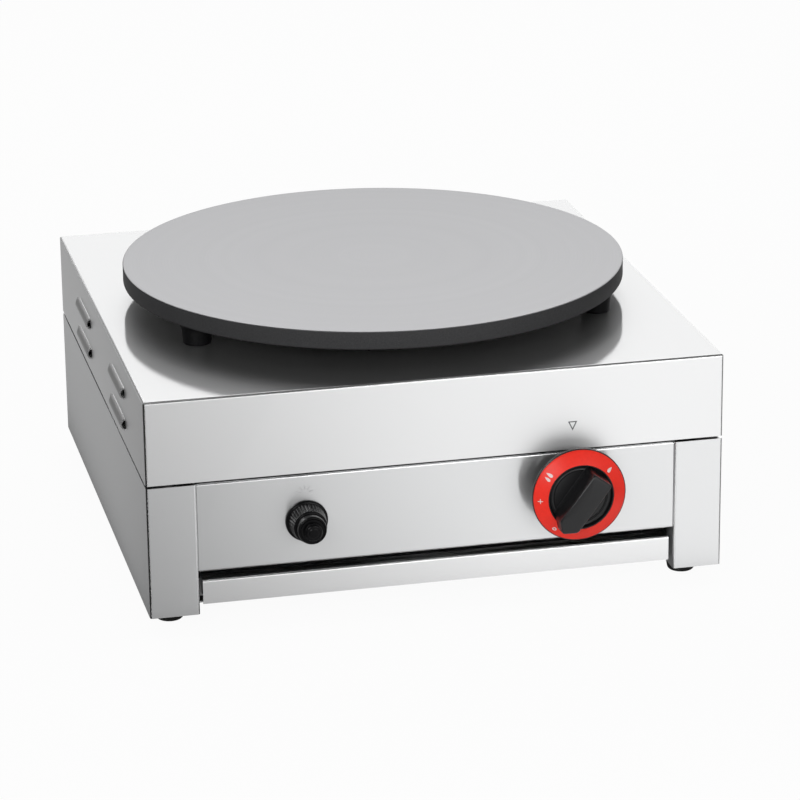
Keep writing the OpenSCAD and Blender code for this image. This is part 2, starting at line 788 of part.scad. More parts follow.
module top_cover() {
  color("lightgray") {
    difference() {
      union() {
        cover_block(0);
        mirrored_x() for (y = louvre_ys, z = louvre_zs) louvre_form(y, z, louvre_r, 0);
      }
      cover_block(sheet_t);
      mirrored_x() for (y = louvre_ys, z = louvre_zs) louvre_form(y, z, louvre_r - sheet_t, louvre_cut);
      rod_z(cover_z1 - 2 * sheet_t, cover_z1 + cut, 0, 0, well_d / 2);
      for (a = leg_angles) rotate([0, 0, a])
        rod_z(cover_z1 - 2 * sheet_t, cover_z1 + cut, leg_circle_r, 0, spigot_d / 2 + spigot_play);
    }
    difference() {
      rod_z(cover_z1 - lip_h, cover_z1 - sheet_t / 2, 0, 0, well_d / 2 + sheet_t);
      rod_z(cover_z1 - lip_h - cut, cover_z1 + cut, 0, 0, well_d / 2);
    }
    cover_hems();
  }
}

cover_screw_far = back - cover_screw_setback;
cover_screw_ys = [-cover_screw_far, -cover_screw_near, cover_screw_near, cover_screw_far];

module at_cover_screws() {
  for (s = [-1, 1], y = cover_screw_ys) translate([s * (half_w - cover_screw_inset), y, 0]) children();
}

module cover_spacers() {
  color("dimgray") at_cover_screws() difference() {
    rod_z(base_z1, cover_z0, 0, 0, head_d / 2 + 1);
    rod_z(base_z1 - cut, cover_z0 + cut, 0, 0, screw_d / 2 + hole_play);
  }
}

module cover_screws() {
  l = 2 * sheet_t + seam_gap + nut_h + screw_end;
  color("silver") at_cover_screws() translate([0, 0, base_z1 - sheet_t]) screw(screw_d, l, head_d, head_h);
}

module cover_nuts() {
  color("silver") at_cover_screws() translate([0, 0, cover_z0 + sheet_t])
    nut(nut_flats, nut_h, screw_d + 2 * thread_play);
}

// ---- lower housing

module side_panel() {
  flange_y1 = rear_in - panel_gap;
  difference() {
    union() {
      translate([0, 0, base_z0]) linear_extrude(base_h) difference() {
        folded_ring(post_x, half_w, front, back);
        translate([post_x - cut, front + post_return]) square([sheet_t + cut, body_d]);
        translate([post_x - cut, 0]) square([post_w - rear_return_w + cut, body_d]);
      }
      slab(half_w - top_flange_w, half_w - sheet_t / 2, front + sheet_t / 2, flange_y1, base_z1 - sheet_t, base_z1);
      translate([0, 0, base_z0]) linear_extrude(sheet_t) difference() {
        union() {
          round_rect(half_w - bottom_flange_w, half_w - sheet_t / 2, front + flange_setback, flange_y1,
                     flange_corner_r);
          translate([half_w - top_flange_w, front + flange_setback])
            square([top_flange_w - sheet_t / 2, flange_y1 - front - flange_setback]);
        }
        translate([half_w - sheet_t / 2, front]) square([bend_r, body_d]);
      }
    }
    for (y = cover_screw_ys)
      rod_z(rail_z1 - cut, base_z1 + cut, half_w - cover_screw_inset, y, screw_d / 2 + hole_play);
    for (y = rail_screw_ys)
      rod_z(rail_z1 - cut, base_z1 + cut, half_w - cover_screw_inset, y, screw_d / 2 + thread_play);
    for (s = [-1, 1])
      rod_z(base_z0 - cut, flange_top + cut, half_w - foot_inset_x, s * foot_y, foot_screw_d / 2 + hole_play);
    for (y = rivet_ys) rod_z(base_z0 - cut, flange_top + cut, rivet_x, y, rivet_d / 2 + thread_play);
    for (z = panel_screw_zs) rod_x(post_x - cut, post_x + 3, panel_screw_y, z, screw_d / 2 + hole_play);
    for (z = rear_screw_zs) rod_y(back - 3, back + cut, rear_screw_x, z, screw_d / 2 + hole_play);
  }
}

module side_panel_left() {
  color("silver") mirror([1, 0, 0]) side_panel();
}

module side_panel_right() {
  color("silver") side_panel();
}

rear_screw_x = half_w - rear_return_w / 2;
rear_screw_zs = [for (i = [0 : 2]) base_z0 + rear_screw_end + i * (base_h / 2 - rear_screw_end)];

module rear_panel() {
  x1 = half_w - bend_r;
  flange_x = half_w - bottom_flange_w - panel_gap;
  color("silver") difference() {
    union() {
      slab(-x1, x1, rear_in, rear_in + sheet_t, base_z0 + sheet_t, base_z1 - sheet_t);
      slab(-flange_x, flange_x, rear_in - panel_flange, rear_in + sheet_t, base_z0, base_z0 + sheet_t);
      slab(-flange_x, flange_x, rear_in - panel_flange, rear_in + sheet_t, base_z1 - sheet_t, base_z1);
    }
    rod_y(rear_in - cut, back + cut, inlet_x, tap_axis_z, bulkhead_d / 2 + hole_play);
    for (s = [-1, 1], z = rear_screw_zs)
      rod_y(rear_in - cut, back + cut, s * rear_screw_x, z, screw_d / 2 + hole_play);
  }
}

module rear_screws() {
  color("silver") for (s = [-1, 1], z = rear_screw_zs) translate([s * rear_screw_x, back, z])
    rotate([90, 0, 0]) screw(screw_d, 2 * sheet_t + nut_h + screw_end, head_d, head_h);
}

module rear_nuts() {
  color("silver") for (s = [-1, 1], z = rear_screw_zs) translate([s * rear_screw_x, rear_in, z])
    rotate([90, 0, 0]) nut(nut_flats, nut_h, screw_d + 2 * thread_play);
}

panel_screw_y = panel_back + (tab_d - sheet_t) / 2;
panel_screw_zs = [panel_z0 + panel_screw_end, base_z1 - panel_screw_end];

module control_panel() {
  flange_y1 = panel_y + panel_flange;
  color("gainsboro") difference() {
    union() {
      translate([-panel_end, 0, 0]) rotate([90, 0, 90]) linear_extrude(2 * panel_end) difference() {
        folded_ring(panel_y, flange_y1 + bend_r, panel_z0, base_z1);
        translate([flange_y1, panel_z0 - cut]) square([bend_r + cut, base_h]);
      }
      mirrored_x() slab(panel_end - sheet_t, panel_end, panel_y + sheet_t / 2, panel_y + tab_d,
                        panel_z0 + tab_end, base_z1 - tab_end);
    }
    rod_y(panel_y - cut, panel_back + cut, tap_x, tap_axis_z, spindle_hole_d / 2);
    for (s = [-1, 1])
      rod_y(panel_y - cut, panel_back + cut, tap_x + s * tap_screw_pitch / 2, tap_axis_z, screw_d / 2 + hole_play);
    rod_y(panel_y - cut, panel_back + cut, -igniter_x, igniter_axis_z, igniter_d / 2 + hole_play);
    for (z = panel_screw_zs) rod_x(-half_w, half_w, panel_screw_y, z, screw_d / 2 + hole_play);
  }
}

module panel_screws() {
  l = 2 * sheet_t + panel_gap + nut_h + screw_end;
  color("silver") mirrored_x() for (z = panel_screw_zs)
    translate([panel_end - sheet_t, panel_screw_y, z]) rotate([0, 90, 0]) screw(screw_d, l, head_d, head_h);
}

module panel_nuts() {
  color("silver") mirrored_x() for (z = panel_screw_zs)
    translate([post_x + sheet_t, panel_screw_y, z]) rotate([0, 90, 0])
      nut(nut_flats, nut_h, screw_d + 2 * thread_play);
}

// ---- feet

foot_x = half_w - foot_inset_x;
foot_y = back - foot_inset_y;
foot_head_z0 = foot_h / 2 - foot_head_h;

module rubber_foot(sx, sy) {
  edge = foot_edge_r;
  color("#1c1c1c") translate([sx * foot_x, sy * foot_y, 0]) difference() {
    rotate_extrude() {
      polygon([[0, 0], [foot_tip_d / 2 - edge, 0], [foot_tip_d / 2, edge], [foot_d / 2, foot_h - foot_band],
               [foot_d / 2, foot_h], [0, foot_h]]);
      translate([foot_tip_d / 2 - edge, edge]) circle(edge);
    }
    rod_z(-cut, foot_h / 2, 0, 0, foot_screw_d);
    rod_z(-cut, foot_h + cut, 0, 0, foot_screw_d / 2 + hole_play);
  }
}

module foot_front_left() { rubber_foot(-1, -1); }
module foot_front_right() { rubber_foot(1, -1); }
module foot_rear_left() { rubber_foot(-1, 1); }
module foot_rear_right() { rubber_foot(1, 1); }

module at_feet() {
  for (sx = [-1, 1], sy = [-1, 1]) translate([sx * foot_x, sy * foot_y, 0]) children();
}

module foot_screws() {
  l = foot_h / 2 + sheet_t + foot_nut_h + screw_end;
  color("silver") at_feet() translate([0, 0, foot_h / 2])
    screw(foot_screw_d, l, foot_head_d, foot_head_h);
}

module foot_nuts() {
  color("silver") at_feet() translate([0, 0, flange_top])
    nut(foot_nut_flats, foot_nut_h, foot_screw_d + 2 * thread_play);
}

// ---- drip tray and its runners

// Section of the right runner: shelf, guide wall, box and riveted foot in one strip.
module runner_section() {
  t = sheet_t;
  translate([guide_x - shelf_w, shelf_z - t]) square([shelf_w + t, t]);
  translate([guide_x, shelf_z - t]) square([t, guide_z - shelf_z + t]);
  translate([guide_x, guide_z - t]) square([runner_box_w, t]);
  translate([runner_x1 - t, flange_top]) square([t, guide_z - flange_top]);
  translate([runner_x1 - t, flange_top]) square([runner_foot_w, t]);
}

module tray_runner() {
  difference() {
    translate([0, runner_y0 + runner_l, 0]) rotate([90, 0, 0]) linear_extrude(runner_l) runner_section();
    for (y = rivet_ys) rod_z(base_z0 - cut, flange_top + 3, rivet_x, y, rivet_d / 2 + thread_play);
  }
}

module tray_runner_left() {
  color("silver") mirror([1, 0, 0]) tray_runner();
}

module tray_runner_right() {
  color("silver") tray_runner();
}

module runner_rivets() {
  color("silver") mirrored_x() for (y = rivet_ys) translate([rivet_x, y, 0]) {
    rod_z(base_z0 - 0.6, flange_top + sheet_t + 0.1, 0, 0, rivet_d / 2);
    rod_z(flange_top + sheet_t, flange_top + sheet_t + rivet_head_h, 0, 0, rivet_head_d / 2);
    rod_z(base_z0 - rivet_head_h / 2, base_z0, 0, 0, rivet_d / 2 + 0.6);
  }
}

module tray_pan() {
  color("silver") difference() {
    slab(-pan_end, pan_end, pan_y0, pan_y1, tray_z0, pan_z1);
    slab(-pan_end + sheet_t, pan_end - sheet_t, pan_y0 + sheet_t, pan_y1 - sheet_t, tray_z0 + sheet_t, pan_z1 + cut);
  }
}

module tray_front() {
  color("gainsboro") translate([-tray_end, 0, 0]) rotate([90, 0, 90]) linear_extrude(2 * tray_end)
    difference() {
      folded_ring(tray_y, tray_y + tray_grip + bend_r, tray_z0 - 2 * bend_r, tray_z1);
      translate([tray_y - cut, tray_z0 - 3 * bend_r]) square([tray_grip + 2 * cut + bend_r, 3 * bend_r]);
      translate([tray_y + tray_grip, tray_z0 - cut]) square([bend_r + cut, tray_front_h + 2 * cut]);
    }
}

// ---- griddle

leg_angles = [-150, -30, 90];

module griddle_plate() {
  r = plate_d / 2;
  color("#3a3c3e") {
    difference() {
      rotate_extrude($fn = 120) polygon([[0, plate_z0], [r - rim_chamfer, plate_z0], [r, plate_z0 + rim_chamfer],
        [r, plate_z1 - rim_chamfer], [r - rim_chamfer, plate_z1], [0, plate_z1]]);
      rod_z(plate_z0 - cut, plate_z0 + recess_h, 0, 0, recess_d / 2);
    }
    for (a = leg_angles) rotate([0, 0, a]) translate([leg_circle_r, 0, 0]) {
      translate([0, 0, cover_z1 + seat_play]) cylinder(h = leg_h + 0.2, d1 = leg_foot_d, d2 = leg_root_d);
      rod_z(cover_z1 - spigot_h, cover_z1 + cut, 0, 0, spigot_d / 2);
    }
  }
}

// ---- burner

rail_screw_ys = [-rail_w / 2 + rail_screw_end, rail_w / 2 - rail_screw_end];
arm_angles = [for (i = [0 : arm_count - 1]) 360 * (i + 0.5) / arm_count];
burner_screw_x = hub_d / 2 + (base_bar_l / 2 - hub_d / 2) / 2;

module burner_rail() {
  x1 = half_w - sheet_t - panel_gap;
  color("silver") difference() {
    union() {
      slab(-x1, x1, -rail_w / 2, rail_w / 2, rail_z0, rail_z1);
      for (s = [-1, 1]) scale([1, s, 1])
        slab(-x1, x1, rail_w / 2 - rail_t, rail_w / 2, rail_z1 - rail_h, rail_z1);
    }
    for (s = [-1, 1], y = rail_screw_ys)
      rod_z(rail_z0 - cut, rail_z1 + cut, s * (half_w - cover_screw_inset), y, screw_d / 2 + hole_play);
    for (s = [-1, 1]) rod_z(rail_z0 - cut, rail_z1 + cut, s * burner_screw_x, 0, screw_d / 2 + hole_play);
    rod_z(rail_z0 - cut, rail_z1 + cut, bracket_screw_x, 0, screw_d / 2 + hole_play);
  }
}

module rail_screws() {
  l = rail_t + sheet_t + seam_gap / 2;
  color("silver") for (s = [-1, 1], y = rail_screw_ys)
    translate([s * (half_w - cover_screw_inset), y, rail_z0]) screw(screw_d, l, head_d, head_h);
}

module burner_arms(d, r0, r1) {
  for (a = arm_angles) rotate([0, 0, a]) rod_x(r0, r1, 0, arm_axis_z, d / 2);
}

module burner_body() {
  hub_in = hub_d / 2 - hub_wall;
  color("#8c8f92") difference() {
    union() {
      rod_z(hub_z0, hub_z1, 0, 0, hub_d / 2);
      slab(-base_bar_l / 2, base_bar_l / 2, -base_bar_w / 2, base_bar_w / 2, hub_z0, hub_z0 + base_bar_t);
      burner_arms(arm_d, hub_in, arm_reach);
    }
    rod_z(hub_floor, hub_roof, 0, 0, hub_in);
    rod_z(hub_floor, hub_z1 + cut, 0, 0, cap_step_d / 2);
    burner_arms(arm_d - 2 * arm_wall, hub_in - 2, arm_reach - arm_wall);
    rod_y(-hub_d, 0, 0, mix_axis_z, mix_d / 2 + thread_play);
    for (a = arm_angles, i = [0 : port_count - 1]) rotate([0, 0, a])
      rod_z(arm_axis_z, arm_axis_z + arm_d, arm_reach - port_end - i * port_step, 0, port_d / 2);
    for (s = [-1, 1])
      rod_z(hub_z0 - cut, hub_z0 + base_bar_t + cut, s * burner_screw_x, 0, screw_d / 2 + hole_play);
  }
}

module burner_cap() {
  color("#77797c") {
    rod_z(hub_z1, hub_z1 + cap_t, 0, 0, cap_d / 2);
    rod_z(hub_roof, hub_z1 + cut, 0, 0, cap_step_d / 2 - hole_play);
  }
}

module burner_screws() {
  l = base_bar_t + rail_t + nut_h + screw_end;
  color("silver") {
    for (s = [-1, 1]) translate([s * burner_screw_x, 0, hub_z0 + base_bar_t]) rotate([180, 0, 0])
      screw(screw_d, l, head_d, head_h);
    translate([bracket_screw_x, 0, rail_z1 + bracket_t]) rotate([180, 0, 0])
      screw(screw_d, bracket_t + rail_t + nut_h + screw_end, head_d, head_h);
  }
}

module burner_nuts() {
  color("silver") for (x = [-burner_screw_x, burner_screw_x, bracket_screw_x])
    translate([x, 0, rail_z0 - nut_h]) nut(nut_flats, nut_h, screw_d + 2 * thread_play);
}

module mixing_tube() {
  r = mix_d / 2;
  rm = mouth_d / 2;
  y1 = mix_y1 - 0.5;
  color("#9a9da0") turned_y(0, mix_axis_z, [
    [r - mix_wall, y1], [r - mix_wall, mix_y0 + flare_l], [rm - 3 * mix_wall, mix_y0],
    [rm, mix_y0], [rm, mix_y0 + mouth_flange_t], [rm - 2 * mix_wall, mix_y0 + mouth_flange_t],
    [r, mix_y0 + flare_l], [r, y1]]);
}

module injector_holder() {
  rm = mouth_d / 2;
  w = holder_w;
  leg_t = holder_t;
  color("#9a9da0") difference() {
    union() {
      slab(-rm - leg_t, rm + leg_t, injector_back, injector_y, mix_axis_z - w / 2, mix_axis_z + w / 2);
      mirrored_x() slab(rm + thread_play, rm + leg_t, injector_back, mix_y0 + mouth_flange_t,
                        mix_axis_z - w / 2, mix_axis_z + w / 2);
      mirrored_x() slab(rm - leg_t, rm + leg_t, mix_y0 + mouth_flange_t, mix_y0 + mouth_flange_t + clip_t,
                        mix_axis_z - w / 2, mix_axis_z + w / 2);
    }
    rod_y(injector_back - cut, injector_y + cut, 0, mix_axis_z, injector_d / 2 + thread_play);
  }
}

module injector() {
  tip_y = injector_y + injector_nose_l;
  color("#b8923a") difference() {
    union() {
      turned_y(0, mix_axis_z, [[0, injector_back - 1], [injector_d / 2, injector_back - 1],
        [injector_d / 2, tip_y - injector_cone_l], [injector_d / 4, tip_y], [0, tip_y]]);
      translate([0, injector_back, mix_axis_z]) rotate([90, 0, 0]) hex_prism(injector_hex, injector_hex_t);
    }
    rod_y(injector_back - injector_hex_t - cut, tip_y - injector_cone_l, 0, mix_axis_z, injector_bore_d / 2);
    rod_y(injector_back, tip_y + cut, 0, mix_axis_z, orifice_d / 2);
  }
}

module air_shutter() {
  color("#9a9da0") difference() {
    rod_y(injector_y, injector_y + shutter_t, 0, mix_axis_z, shutter_d / 2);
    rod_y(injector_y - cut, injector_y + shutter_t + cut, 0, mix_axis_z, injector_d / 2 + thread_play);
  }
}

// ---- gas line

feed_y = port_y;
feed_end_y = injector_back - injector_hex_t;

module pipe_x(x0, x1, y, z, d) {
  difference() {
    rod_x(x0, x1, y, z, d / 2);
    rod_x(x0 - cut, x1 + cut, y, z, d / 2 - pipe_wall);
  }
}

module pipe_y(y0, y1, x, z, d) {
  difference() {
    rod_y(y0, y1, x, z, d / 2);
    rod_y(y0 - cut, y1 + cut, x, z, d / 2 - pipe_wall);
  }
}

module pipe_z(z0, z1, x, y, d) {
  difference() {
    rod_z(z0, z1, x, y, d / 2);
    rod_z(z0 - cut, z1 + cut, x, y, d / 2 - pipe_wall);
  }
}

module feed_pipe() {
  b = pipe_bend_r;
  color("#b87333") {
    pipe_x(b, tap_x - port_reach, feed_y, tap_axis_z, feed_d);
    translate([b, feed_y, tap_axis_z]) rotate([90, -90, 0])
      quarter_bend(feed_d, feed_d - 2 * pipe_wall);
    pipe_z(tap_axis_z + b, mix_axis_z - b, 0, feed_y, feed_d);
    translate([0, feed_y, mix_axis_z - b]) rotate([90, 0, 90])
      quarter_bend(feed_d, feed_d - 2 * pipe_wall);
    pipe_y(feed_y + b, feed_end_y, 0, mix_axis_z, feed_d);
  }
}

module supply_pipe() {
  b = pipe_bend_r;
  color("#b87333") {
    pipe_x(tap_x + port_reach, inlet_x - b, port_y, tap_axis_z, supply_d);
    translate([inlet_x, port_y + b, tap_axis_z]) rotate([0, 0, 180])
      quarter_bend(supply_d, supply_d - 2 * pipe_wall);
    pipe_y(port_y + b, supply_nut_y, inlet_x, tap_axis_z, supply_d);
  }
}

module union_nut(d) {
  difference() {
    hex_prism(union_hex, union_l);
    translate([0, 0, -cut]) cylinder(h = union_l + 2 * cut, d = d + 2 * thread_play);
  }
}

module union_nuts() {
  color("#b8923a") {
    translate([tap_x - port_reach, feed_y, tap_axis_z]) rotate([0, -90, 0]) union_nut(feed_d);
    translate([tap_x + port_reach, feed_y, tap_axis_z]) rotate([0, 90, 0]) union_nut(supply_d);
    translate([0, feed_end_y, mix_axis_z]) rotate([90, 0, 0]) union_nut(feed_d);
  }
}

module inlet_connector() {
  bore = supply_d - 2 * pipe_wall;
  thread_r = inlet_thread_d / 2;
  neck_r = thread_r - inlet_undercut;
  color("#b8923a") difference() {
    union() {
      translate([inlet_x, back - sheet_t, tap_axis_z]) rotate([-90, 0, 0]) hex_prism(inlet_hex, inlet_hex_t);
      turned_y(inlet_x, tap_axis_z, [[0, back], [neck_r, back], [neck_r, inlet_thread_y],
        [thread_r, inlet_thread_y], [thread_r, inlet_y1], [0, inlet_y1]]);
      rod_y(supply_nut_y, back, inlet_x, tap_axis_z, bulkhead_d / 2);
    }
    rod_y(supply_nut_y - cut, inlet_y1 + cut, inlet_x, tap_axis_z, bore / 2);
    rod_y(inlet_y1 - inlet_bore_l, inlet_y1 + cut, inlet_x, tap_axis_z, inlet_bore_d / 2);
  }
}

module inlet_locknut() {
  color("#b8923a") translate([inlet_x, rear_in, tap_axis_z]) rotate([90, 0, 0])
    nut(locknut_flats, locknut_h, bulkhead_d + 2 * thread_play);
}

// ---- gas tap

module tap_flange(y0, y1) {
  slab(tap_x - bonnet_w / 2, tap_x + bonnet_w / 2, y0, y1, tap_axis_z - bonnet_h / 2, tap_axis_z + bonnet_h / 2);
}

module tap_screw_holes(play) {
  for (s = [-1, 1]) rod_y(panel_y - cut, barrel_y0 + cut, tap_x + s * tap_screw_pitch / 2, tap_axis_z,
                          screw_d / 2 + play);
}

module tap_bonnet() {
  color("#a0a4a8") difference() {
    tap_flange(panel_back, bonnet_y);
    rod_y(panel_back - cut, bonnet_y + cut, tap_x, tap_axis_z, spindle_d / 2 + running_play);
    tap_screw_holes(hole_play);
  }
}

module tap_body() {
  p = running_play;
  color("#b8923a") difference() {
    union() {
      tap_flange(bonnet_y, barrel_y0);
      rod_y(bonnet_y, barrel_y1, tap_x, tap_axis_z, barrel_d / 2);
      rod_x(tap_x - port_reach, tap_x + port_reach, port_y, tap_axis_z, port_boss_d / 2);
    }
    turned_y(tap_x, tap_axis_z, [[0, bonnet_y - cut], [plug_d / 2 + p, bonnet_y - cut],
      [plug_d / 2 + p, plug_y0], [plug_tail_d / 2 + p, plug_y1], [plug_tail_d / 2 + p, plug_y1 + 2],
      [0, plug_y1 + 2]]);
    rod_x(tap_x - port_reach - cut, tap_x - 4, port_y, tap_axis_z, feed_d / 2 - pipe_wall);
    rod_x(tap_x + 4, tap_x + port_reach + cut, port_y, tap_axis_z, supply_d / 2 - pipe_wall);
    tap_screw_holes(thread_play);
  }
}

module tap_screws() {
  color("silver") for (s = [-1, 1])
    translate([tap_x + s * tap_screw_pitch / 2, panel_y, tap_axis_z]) rotate([-90, 0, 0])
      screw(screw_d, sheet_t + bonnet_t + tap_flange_t - 0.5, head_d - 0.8, head_h);
}

module safety_magnet() {
  y1 = barrel_y1 + magnet_l;
  color("#a0a4a8") {
    rod_y(barrel_y1, y1, tap_x, tap_axis_z, magnet_d / 2);
    translate([tap_x, y1, tap_axis_z]) rotate([-90, 0, 0]) hex_prism(magnet_tail_flats, magnet_tail_l);
  }
}

module tap_plug() {
  color("#c9a24a") difference() {
    turned_y(tap_x, tap_axis_z, [[0, plug_y0], [plug_d / 2, plug_y0], [plug_tail_d / 2, plug_y1], [0, plug_y1]]);
    rod_y(plug_y0 - cut, plug_y0 + pocket_l, tap_x, tap_axis_z, pocket_d / 2);
    rod_y(plug_y0, spindle_y1 + knob_travel + 0.5, tap_x, tap_axis_z, spindle_tail_d / 2 + running_play);
    rod_x(tap_x - plug_d, tap_x - spindle_tail_d / 4, port_y + 1, tap_axis_z, 2);
  }
}

module tap_spindle() {
  r = spindle_d / 2;
  color("#c0c4c8") difference() {
    turned_y(tap_x, tap_axis_z, [[0, spindle_y0], [r, spindle_y0], [r, spindle_step_y],
      [spindle_tail_d / 2, spindle_step_y], [spindle_tail_d / 2, spindle_y1], [0, spindle_y1]]);
    translate([tap_x, 0, tap_axis_z]) rotate([0, -knob_turn, 0])
      slab(-r, r, spindle_y0 - cut, skirt_y, r - spindle_flat, r + cut);
  }
}

module spindle_spring() {
  color("silver") translate([tap_x, plug_y0 + pocket_l, tap_axis_z]) rotate([90, 0, 0])
    coil_spring(spindle_spring_d, spindle_wire_d, plug_y0 + pocket_l - spindle_step_y, spindle_turns);
}

// ---- control knob

// Everything in here is drawn with the knob at off and turned with it.
module knob_frame() {
  translate([tap_x, 0, tap_axis_z]) rotate([0, -knob_turn, 0]) translate([-tap_x, 0, -tap_axis_z]) children();
}

// Front view of the grip: a bar with a point upwards, at off.
module grip_outline() {
  w = grip_w / 2;
  polygon([[-w, -grip_half_l], [w, -grip_half_l], [w, grip_half_l], [0, grip_point], [-w, grip_half_l]]);
}

module grip_prism(y0, y1) {
  translate([tap_x, y1, tap_axis_z]) rotate([90, 0, 0]) linear_extrude(y1 - y0) grip_outline();
}

module control_knob() {
  r_out = collar_d / 2 + knob_rim;
  r_in = collar_hole_d / 2 - thread_play;
  r_dish = r_in - 0.8;
  seat = collar_y + collar_t + thread_play;
  color("#141414") difference() {
    union() {
      turned_y(tap_x, tap_axis_z, [[0, dish_y], [r_dish, dish_y], [r_dish, collar_crest + 0.4],
        [r_in, collar_crest + 0.4], [r_in, collar_crest + collar_t + thread_play], [collar_d / 2, seat],
        [collar_d / 2, collar_y + 0.3], [r_out, collar_y + 0.6], [r_out, seat + 1.5],
        [skirt_d / 2, seat + 3.5], [skirt_d / 2, skirt_y], [skirt_d / 2 - skirt_wall, skirt_y],
        [skirt_d / 2 - skirt_wall, web_y], [boss_d / 2, web_y], [boss_d / 2, skirt_y - 1.7], [0, skirt_y - 1.7]]);
      knob_frame() {
        grip_prism(grip_y, collar_crest - 0.3);
        intersection() {
          grip_prism(collar_crest - 0.4, dish_y + cut);
          rod_y(grip_y, dish_y + cut, tap_x, tap_axis_z, r_dish);
        }
      }
    }
    difference() {
      rod_y(spindle_y0 - 0.3, skirt_y + cut, tap_x, tap_axis_z, spindle_d / 2 + thread_play);
      knob_frame() slab(tap_x - spindle_d, tap_x + spindle_d, spindle_y0 - cut, skirt_y - 0.5,
        tap_axis_z + spindle_d / 2 - spindle_flat + thread_play, tap_axis_z + spindle_d);
    }
  }
}

module knob_collar() {
  r_in = collar_hole_d / 2;
  r_out = collar_d / 2 - thread_play;
  slope = collar_rise * (r_out - r_in) / (collar_d / 2 - r_in);
  color("#e0322c") turned_y(tap_x, tap_axis_z, [[r_in, collar_crest], [r_out, collar_crest + slope],
    [r_out, collar_crest + slope + collar_t], [r_in, collar_crest + collar_t]]);
}

// ---- igniter

module igniter_body() {
  color("#222222") difference() {
    union() {
      rod_y(ring_y2, igniter_y1, -igniter_x, igniter_axis_z, igniter_d / 2);
      rod_y(igniter_y1, igniter_y1 + terminal_l, -igniter_x, igniter_axis_z, igniter_d / 4);
    }
    rod_y(ring_y2 - cut, button_floor, -igniter_x, igniter_axis_z, button_d / 2 + button_play);
  }
}

module igniter_ring_nut() {
  bore = igniter_d / 2 + thread_play;
  color("#181818") turned_y(-igniter_x, igniter_axis_z, [[bore, panel_y], [nut_base_d / 2, panel_y],
    [nut_base_d / 2, ring_y0 + 1], [nut_base_d / 2 - 1, ring_y0], [knurl_d / 2, ring_y0],
    [knurl_tip_d / 2, ring_y1], [neck_d / 2, ring_y1], [neck_d / 2, ring_y2 + 1],
    [neck_d / 2 - 1, ring_y2], [bore, ring_y2]]);
}

module igniter_back_nut() {
  color("#222222") difference() {
    translate([-igniter_x, panel_back, igniter_axis_z]) rotate([-90, 0, 0]) hex_prism(back_nut_flats, back_nut_h);
    rod_y(panel_back - cut, panel_back + back_nut_h + cut, -igniter_x, igniter_axis_z, igniter_d / 2 + thread_play);
  }
}

module igniter_button() {
  r = button_d / 2;
  e = button_round / 3;
  color("#101010") turned_y(-igniter_x, igniter_axis_z, [[0, button_y0], [r - 2 * e, button_y0 + e / 2],
    [r - e / 2, button_y0 + 3 * e / 2], [r, button_y0 + 3 * e], [r, button_y1], [0, button_y1]]);
}

module igniter_spring() {
  color("silver") translate([-igniter_x, button_floor, igniter_axis_z]) rotate([90, 0, 0])
    coil_spring(button_spring_d, button_wire_d, button_floor - button_y1, button_turns);
}

// ---- ignition and flame guard

module probe_bracket() {
  t = bracket_t;
  w = bracket_half_w;
  far = -bracket_x1 - bracket_web;
  color("silver") difference() {
    union() {
      slab(far, far + bracket_foot_l, -w, w, rail_z1, rail_z1 + t);
      slab(far, far + t, -w, w, rail_z1, shelf_top);
      slab(far, -bracket_x0, -w, w, shelf_top - t, shelf_top);
    }
    rod_z(shelf_top - 2 * t, shelf_top + cut, -bracket_x, -probe_y, ceramic_d / 2 + thread_play);
    rod_z(shelf_top - 2 * t, shelf_top + cut, -bracket_x, probe_y, thermo_d / 2 + thread_play);
    rod_z(rail_z1 - cut, rail_z1 + t + cut, bracket_screw_x, 0, screw_d / 2 + hole_play);
  }
}

module spark_electrode() {
  color("ivory") {
    rod_z(probe_foot, probe_tip - electrode_bare, -bracket_x, -probe_y, ceramic_d / 2);
    rod_z(shelf_top, shelf_top + probe_collar_h, -bracket_x, -probe_y, ceramic_d / 2 + probe_collar_w);
    rod_z(probe_tip - electrode_bare - cut, probe_tip, -bracket_x, -probe_y, electrode_wire_d / 2);
  }
}

module ignition_lead() {
  color("#5a1e1e") wire(lead_points, lead_d);
}

module thermocouple() {
  color("#b87333") {
    rod_z(probe_foot, probe_tip - thermo_d / 2, -bracket_x, probe_y, thermo_d / 2);
    translate([-bracket_x, probe_y, probe_tip - thermo_d / 2]) sphere(thermo_d / 2);
    rod_z(shelf_top, shelf_top + probe_collar_h, -bracket_x, probe_y, thermo_d / 2 + probe_collar_w);
    wire(capillary_points, capillary_d);
  }
}

top_cover();
side_panel_left();
side_panel_right();
rear_panel();
control_panel();
cover_spacers();
cover_screws();
cover_nuts();
panel_screws();
panel_nuts();
rear_screws();
rear_nuts();
tray_runner_left();
tray_runner_right();
runner_rivets();
foot_front_left();
foot_front_right();
foot_rear_left();
foot_rear_right();
foot_screws();
foot_nuts();
burner_rail();
rail_screws();
burner_body();
burner_cap();
burner_screws();
burner_nuts();
mixing_tube();
injector_holder();
injector();
air_shutter();
feed_pipe();
supply_pipe();
union_nuts();
inlet_connector();
inlet_locknut();
tap_body();
tap_bonnet();
tap_screws();
safety_magnet();
tap_plug();
tap_spindle();
spindle_spring();
control_knob();
knob_collar();
igniter_body();
igniter_ring_nut();
igniter_back_nut();
igniter_button();
igniter_spring();
probe_bracket();
spark_electrode();
ignition_lead();
thermocouple();
tray_pan();
tray_front();
griddle_plate();
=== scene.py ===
import math

import bmesh
import bpy
import numpy as np
from mathutils import Matrix, Vector


